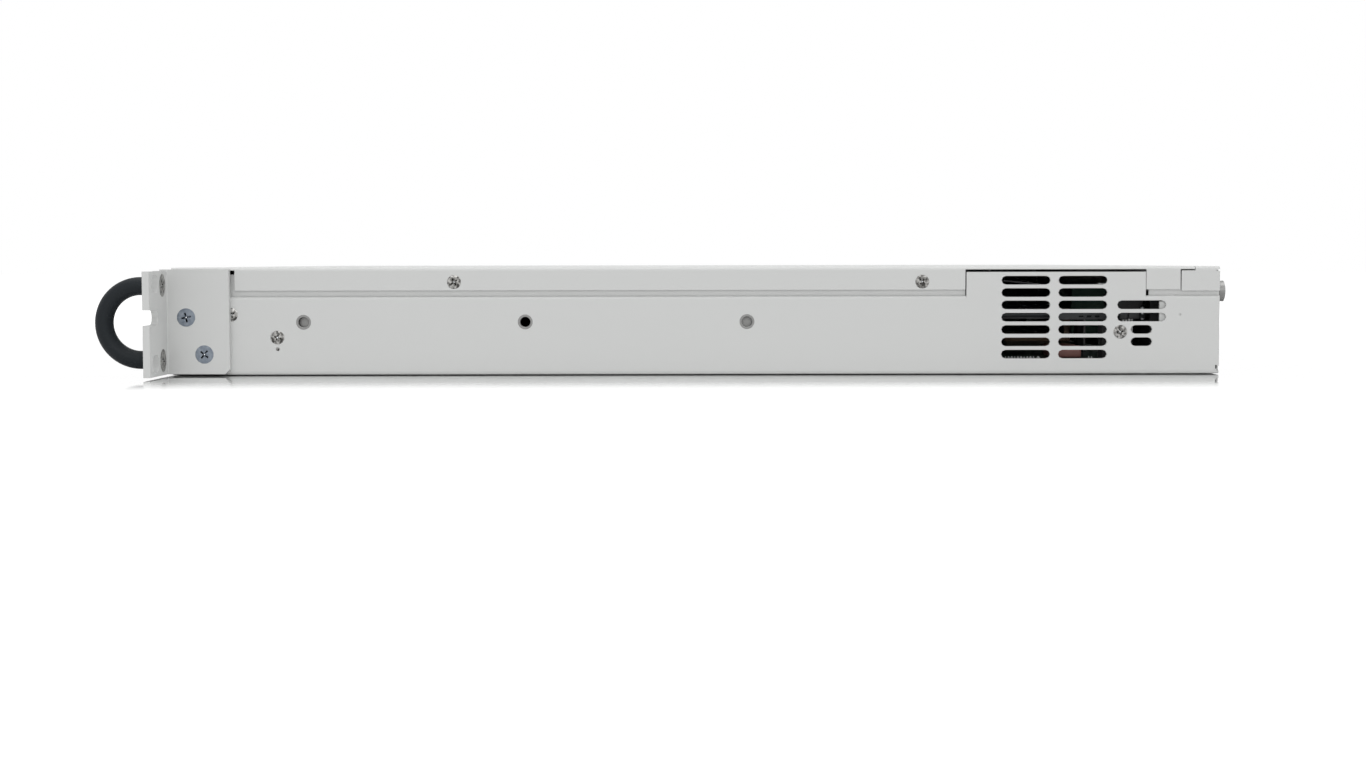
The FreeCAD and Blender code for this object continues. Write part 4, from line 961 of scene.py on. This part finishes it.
def makeInnerParts():
    # all in millimetres: places along the case and heights, depths from the edge of the upper board
    size = {"lines": (129.5, 150.5), "lineHalf": 0.07, "strip": (153.0, 173.5, 21.7, 24.9),
            "ways": (162.6, 165.9, 169.3), "way": (22.6, 23.3),
            "parts": ((180.2, 3.2, 21.6, 24.9), (184.4, 4.4, 21.9, 24.6)), "relayTall": 8.2,
            "dotStart": 131.2, "dotPitch": 1.28, "dots": 10, "dotRadii": (0.34, 0.46, 0.58), "dotRim": 1.4,
            "dotTall": 0.7,
            "bigDots": ((144.6, 0.8), (165.4, 0.4), (166.6, 0.35)), "post": (0.75, 5.4, 24.2),
            "tie": (1.0, 0.32, 8.3), "tiePlace": (190, 138.8, 37.0), "tieTurn": -5.5,
            "mark": 0.62, "markAlong": 42.9, "markRise": 10.4}
    low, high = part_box("filter_board")
    edge, top, bottom, rear = high.x / mm, high.z / mm, low.z / mm, high.y / mm

    def edgeBlock(inner, outer, start, end, foot, head):
        corners = (edge + inner, start, foot), (edge + outer, end, head)
        return addBlock(*[[v * mm for v in corner] for corner in corners])

    # bright copper lines along the edge of the upper board
    lines = []
    for z in (top - 0.15, bottom + 0.1):
        lines.append(edgeBlock(-0.1, 0.05, *size["lines"], z - size["lineHalf"], z + size["lineHalf"]))
    assemble(lines, "boardEdgeLines", None, "partPale", "circuit_board", "enclosure")
    # edge connector with three dark ways
    strip = edgeBlock(-4, 0.6, *size["strip"])
    for y in size["ways"]:
        applyCut(strip, edgeBlock(-1, 2, y - 1, y + 1, *size["way"]))
    applyBevel(strip, 0.15 * mm, 1)
    blocks = [strip]
    for y, length, foot, head in size["parts"]:
        block = edgeBlock(-6, 0.4, y - length / 2, y + length / 2, foot, head)
        applyBevel(block, 0.3 * mm, 2)
        blocks.append(block)
    assemble(blocks, "edgeComponents", 30, "partGrey", "circuit_board", "enclosure")
    # relay that stands on the rear end of the upper board
    relay = edgeBlock(-20, -2.5, rear - 13, rear - 0.4, top, top + size["relayTall"])
    applyBevel(relay, 0.4 * mm, 2)
    assemble([relay], "relayBlock", 30, "deviceBlack", "device_plastic", "enclosure")
    # tin on the legs of the parts along the lower board, and one tall post
    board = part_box("main_board")[1]
    spots = list(size["bigDots"])
    for i in reversed(range(size["dots"])):
        spots.insert(0, (size["dotStart"] + size["dotPitch"] * i, size["dotRadii"][i % 3]))
    dots = []
    for y, radius in spots:
        place = (board.x - size["dotRim"] * mm, y * mm, board.z + size["dotTall"] / 2 * mm)
        dot = addCylinder(radius * mm, size["dotTall"] * mm, place, sides=12)
        pickFacing(dot, (0, 0, 1))
        resizeBy(0.4, 0.4, 1)
        leaveEdit()
        dots.append(dot)
    radius, tall, rise = size["post"]
    post = addCylinder(radius * mm, tall * mm, ((edge - 1.2) * mm, (rear - 0.9) * mm, rise * mm), sides=16)
    applyBevel(post, 0.2 * mm, 1)
    assemble(dots, "solderJoints", 40, "solderTin", "circuit_board", "enclosure")
    assemble([post], "boardPost", 40, "edgeTin", "circuit_board", "enclosure")
    # slanting tie strip under the top sheet
    wide, thick, reach = [v * mm for v in size["tie"]]
    tie = addBar(0, 0, wide, thick, -reach, reach)
    place = Matrix.Translation([v * mm for v in size["tiePlace"]])
    tie.data.transform(place @ Matrix.Rotation(radians(size["tieTurn"]), 4, "X"))
    applyBevel(tie, 0.05 * mm, 1)
    assemble([tie], "tieStrip", None, "partPale", "device_plastic", "enclosure")
    film = addBlock(*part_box("film_capacitor"))
    applyBevel(film, 0.9 * mm, 3)
    assemble([film], "filmCapacitor", 30, "filmBrown", "film_case", "enclosure", "film_capacitor")
    # painted shade: a small disc of the mottled screw metal darkens the dimple below the front screw of the
    # right wall
    low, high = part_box("chassis")
    place = (high.x - 0.18 * mm, low.y + size["markAlong"] * mm, size["markRise"] * mm)
    mark = addCylinder(size["mark"] * mm, 0.2 * mm, place, sides=12, turn=alongX)
    assemble([mark], "dimpleShadeDisc", None, "nickelBright", "zinc_screw", "enclosure")
    # painted shade: a dark block stands for the shade in the open corner of the fold at the lower rear end of
    # the right wall
    corner = addBlock((high.x - 0.5 * mm, high.y - 1.5 * mm, 2.0 * mm),
                      (high.x + 0.02 * mm, high.y - 0.9 * mm, 3.5 * mm))
    assemble([corner], "foldCornerShade", None, "deviceBlack", "case_paint", "enclosure")
    print("inner parts made")


makeInnerParts()


# Rear connectors

def makeInlet():
    piece = roundedCopy("mains_inlet", "mainsInlet", 0.5 * mm, 3)
    dress(piece, "blackPlastic", "black_plastic", "enclosure", "mains_inlet")
    blades = []
    for low, high in solidBoxes("inlet_pins"):
        blade = addBlock(low, high)
        pickFacing(blade, (0, 1, 0))
        resizeBy(0.7, 1, 0.8)
        leaveEdit()
        applyBevel(blade, 0.25 * mm, 2)
        blades.append(blade)
    assemble(blades, "inletPins", 35, "tinnedMetal", "post_metal", "enclosure", "inlet_pins")
    print("mains inlet made")


def makeSlotScrew(place, size, spin):
    # small cheese-head screw facing the rear, with a straight slot
    screw = addCylinder(size["screw"] / 2, size["screwDepth"], place, sides=28, turn=alongY)
    applyBevel(screw, 0.15 * mm, 2)
    top = place[1] + size["screwDepth"] / 2
    slot = addBar(0, 0, 2 * size["screw"], 0.6 * mm, top - 0.5 * mm, top + 1 * mm)
    slot.data.transform(Matrix.Translation((place[0], 0, place[2])) @ Matrix.Rotation(spin, 4, "Y"))
    applyCut(screw, slot)
    return screw


def makeOutputTerminals():
    size = {"ways": 4, "pitch": 13.0 * mm, "mouth": 8.0 * mm, "mouthRise": 3.0 * mm, "screwDrop": 5.6 * mm,
            "screw": 4.4 * mm, "screwDepth": 1.6 * mm, "screwBack": 2.4 * mm, "clamp": 7.2 * mm,
            "clampWall": 0.9 * mm, "clampBack": 3.0 * mm, "clampLength": 6.0 * mm, "groove": 0.7 * mm,
            "grooveDepth": 0.8 * mm, "over": 1.0 * mm}
    low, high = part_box("output_terminals")
    piece = roundedCopy("output_terminals", "outputTerminals", 0.35 * mm)
    for way in range(1, size["ways"]):
        x = low.x + way * size["pitch"]
        applyCut(piece, addBlock((x - size["groove"] / 2, high.y - size["grooveDepth"], low.z - size["over"]),
                                 (x + size["groove"] / 2, high.y + size["over"], high.z + size["over"])))
    smooth(piece)
    dress(piece, "terminalGreen", "terminal_plastic", "enclosure", "output_terminals")
    metal = []
    z = low.z + size["mouthRise"] + size["mouth"] / 2
    end = high.y - size["clampBack"]
    start = end - size["clampLength"]
    inner = size["clamp"] - 2 * size["clampWall"]
    for way in range(size["ways"]):
        x = low.x + (way + 0.5) * size["pitch"]
        clamp = addBar(x, z, size["clamp"], size["clamp"], start, end)
        applyCut(clamp, addBar(x, z, inner, inner, start + size["over"], end + size["over"]))
        applyBevel(clamp, 0.15 * mm, 1)
        metal.append(clamp)
        place = (x, high.y - size["screwBack"], high.z - size["screwDrop"])
        metal.append(makeSlotScrew(place, size, 0.5 + way * 0.9))
    assemble(metal, "terminalScrews", 30, "tinnedMetal", "terminal_plastic", "enclosure")
    print("output terminals made")


def makeSenseConnector():
    size = {"ways": 5, "edge": 1.5 * mm, "screw": 2.2 * mm, "screwDepth": 0.8 * mm, "rise": 2.5 * mm,
            "well": 1.2 * mm, "ease": 0.2 * mm}
    low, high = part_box("sense_connector")
    piece = roundedCopy("sense_connector", "senseConnector", 0.3 * mm)
    pitch = (high.x - low.x - 2 * size["edge"]) / size["ways"]
    z = (low.z + high.z) / 2 + size["rise"]
    screws = []
    for way in range(size["ways"]):
        x = low.x + size["edge"] + (way + 0.5) * pitch
        applyCut(piece, addRod(size["screw"] / 2 + size["ease"], x, z, high.y - size["well"],
                               high.y + size["well"], 24))
        screws.append(makeSlotScrew((x, high.y - size["screwDepth"], z), size, 0.3 + way * 1.1))
    smooth(piece)
    dress(piece, "terminalGreen", "terminal_plastic", "enclosure", "sense_connector")
    assemble(screws, "senseScrews", 30, "tinnedMetal", "terminal_plastic", "enclosure")
    print("sense connector made")


def makeAnalogConnector():
    size = {"plate": 0.8 * mm, "proud": 2.6 * mm, "wide": 41.0 * mm, "tall": 9.4 * mm, "slope": 1.66 * mm,
            "corner": 1.6 * mm, "wall": 0.6 * mm, "hollow": 5.6 * mm, "pin": 0.5 * mm, "pinShort": 0.6 * mm,
            "pitch": 2.76 * mm, "row": 2.84 * mm, "jack": 47.1 * mm, "jackRadius": 2.5 * mm,
            "jackDepth": 1.5 * mm, "jackBore": 1.3 * mm}
    low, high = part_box("analog_connector")
    x, z = middleOf(low, high)
    rear = high.y - size["proud"]
    floor = high.y - size["hollow"]
    plate = addBlock((low.x, rear, low.z), (high.x, rear + size["plate"], high.z))
    roundLongEdges(plate, size["plate"] * 0.9, size["corner"], 4)
    shell = addBar(x, z, size["wide"], size["tall"], low.y, high.y)
    pickFacing(shell, (0, 0, -1))
    resizeBy(1 - 2 * size["slope"] / size["wide"], 1, 1)
    roundLongEdges(shell, size["proud"], size["corner"], 5)
    # the flange stops at the shell
    applyCut(plate, duplicate(shell))
    pickFacing(shell, (0, 1, 0))
    insetBy(size["wall"])
    extrudeBy((0, floor - high.y, 0))
    leaveEdit()
    jacks = []
    for side in (-1, 1):
        place = (x + side * size["jack"] / 2, rear + size["plate"] + size["jackDepth"] / 2, z)
        jack = addCylinder(size["jackRadius"], size["jackDepth"], place, sides=6, turn=alongY)
        applyBevel(jack, 0.2 * mm, 1, 50)
        applyCut(jack, addCylinder(size["jackBore"], size["jackDepth"] * 3, place, sides=24, turn=alongY))
        jacks.append(jack)
    assemble([plate, shell] + jacks, "analogConnector", 30, "tinnedMetal", "post_metal", "enclosure",
             "analog_connector")
    # black insert and gold pins inside the shell
    insert = addBar(x, z, size["wide"] - 2 * (size["slope"] + size["wall"]), size["tall"] - 2 * mm,
                    floor - 0.2 * mm, floor + 0.6 * mm)
    applyBevel(insert, 0.4 * mm, 2)
    assemble([insert], "analogInsert", 30, "deviceBlack", "post_metal", "enclosure")
    pins = []
    for row, count in ((1, 13), (-1, 12)):
        for i in range(count):
            along = x + (i - (count - 1) / 2) * size["pitch"]
            place = (along, (floor + high.y) / 2, z + row * size["row"] / 2)
            pin = addCylinder(size["pin"], high.y - floor - size["pinShort"], place, sides=12, turn=alongY)
            applyBevel(pin, 0.2 * mm, 1, 50)
            pins.append(pin)
    assemble(pins, "analogPins", 35, "goldPlate", "post_metal", "enclosure")
    print("analog connector made")


def makeNetworkSocket():
    size = {"contacts": 8, "pitch": 1.02 * mm, "wide": 0.45 * mm, "thick": 0.25 * mm, "length": 9.0 * mm,
            "tilt": 16.0, "contactIn": 1.6 * mm, "contactRise": 2.3 * mm, "mouth": 12.0 * mm,
            "tall": 9.0 * mm, "back": 12.6 * mm, "liner": 0.5 * mm, "linerIn": 0.9 * mm, "ease": 0.2 * mm}
    low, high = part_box("network_socket")
    x, z = middleOf(low, high)
    piece = roundedCopy("network_socket", "networkSocket", 0.25 * mm)
    dress(piece, "tinnedMetal", "post_metal", "enclosure", "network_socket")
    back = high.y - size["back"]
    liner = addBar(x, z, size["mouth"] - size["ease"], size["tall"] - size["ease"], back,
                   high.y - size["linerIn"])
    pickFacing(liner, (0, 1, 0))
    insetBy(size["liner"])
    extrudeBy((0, back - high.y + 2.0 * mm, 0))
    leaveEdit()
    roof = z + size["tall"] / 2
    applyCut(liner, addBlock((x - size["mouth"] / 4, back + 1 * mm, roof - 1.2 * mm),
                             (x + size["mouth"] / 4, high.y, roof + 0.5 * mm)))
    assemble([liner], "networkLiner", 30, "deviceBlack", "post_metal", "enclosure")
    contacts = []
    turn = Matrix.Rotation(radians(size["tilt"]), 4, "X")
    reach = size["length"] / 2
    for i in range(size["contacts"]):
        along = x + (i - (size["contacts"] - 1) / 2) * size["pitch"]
        place = (along, high.y - reach - size["contactIn"], z - size["tall"] / 2 + size["contactRise"])
        contact = addBar(0, 0, size["wide"], size["thick"], -reach, reach)
        contact.data.transform(Matrix.Translation(place) @ turn)
        contacts.append(contact)
    piece = joinPieces(contacts, "networkContacts")
    applyBevel(piece, 0.06 * mm, 1)
    dress(piece, "goldPlate", "post_metal", "enclosure")
    print("network socket made")


def makeGroundScrew():
    size = {"head": 8.6 * mm, "depth": 2.4 * mm, "crown": 0.2 * mm, "shank": 4.0 * mm, "length": 7.5 * mm,
            "cross": 4.6 * mm, "arm": 0.9 * mm, "sunk": False, "washer": 9.7 * mm, "washerDepth": 0.9 * mm,
            "teeth": 16, "spin": 25}
    low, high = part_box("ground_screw")
    x, z = middleOf(low, high)
    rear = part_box("rear_panel")[1].y
    washer = addRod(size["washer"] / 2, x, z, rear, rear + size["washerDepth"], size["teeth"] * 2)
    applyBevel(washer, 0.1 * mm, 1)
    screw = makeScrewHead(size)
    face = Vector((x, high.y - headRise * size["crown"], z))
    screw.data.transform(screwPlace((face, face), (0, 1, 0), size["spin"]))
    assemble([screw, washer], "groundScrew", 30, "nutSteel", "zinc_screw", "enclosure", "ground_screw")
    print("ground screw made")


makeInlet()
makeOutputTerminals()
makeSenseConnector()
makeAnalogConnector()
makeNetworkSocket()
makeGroundScrew()
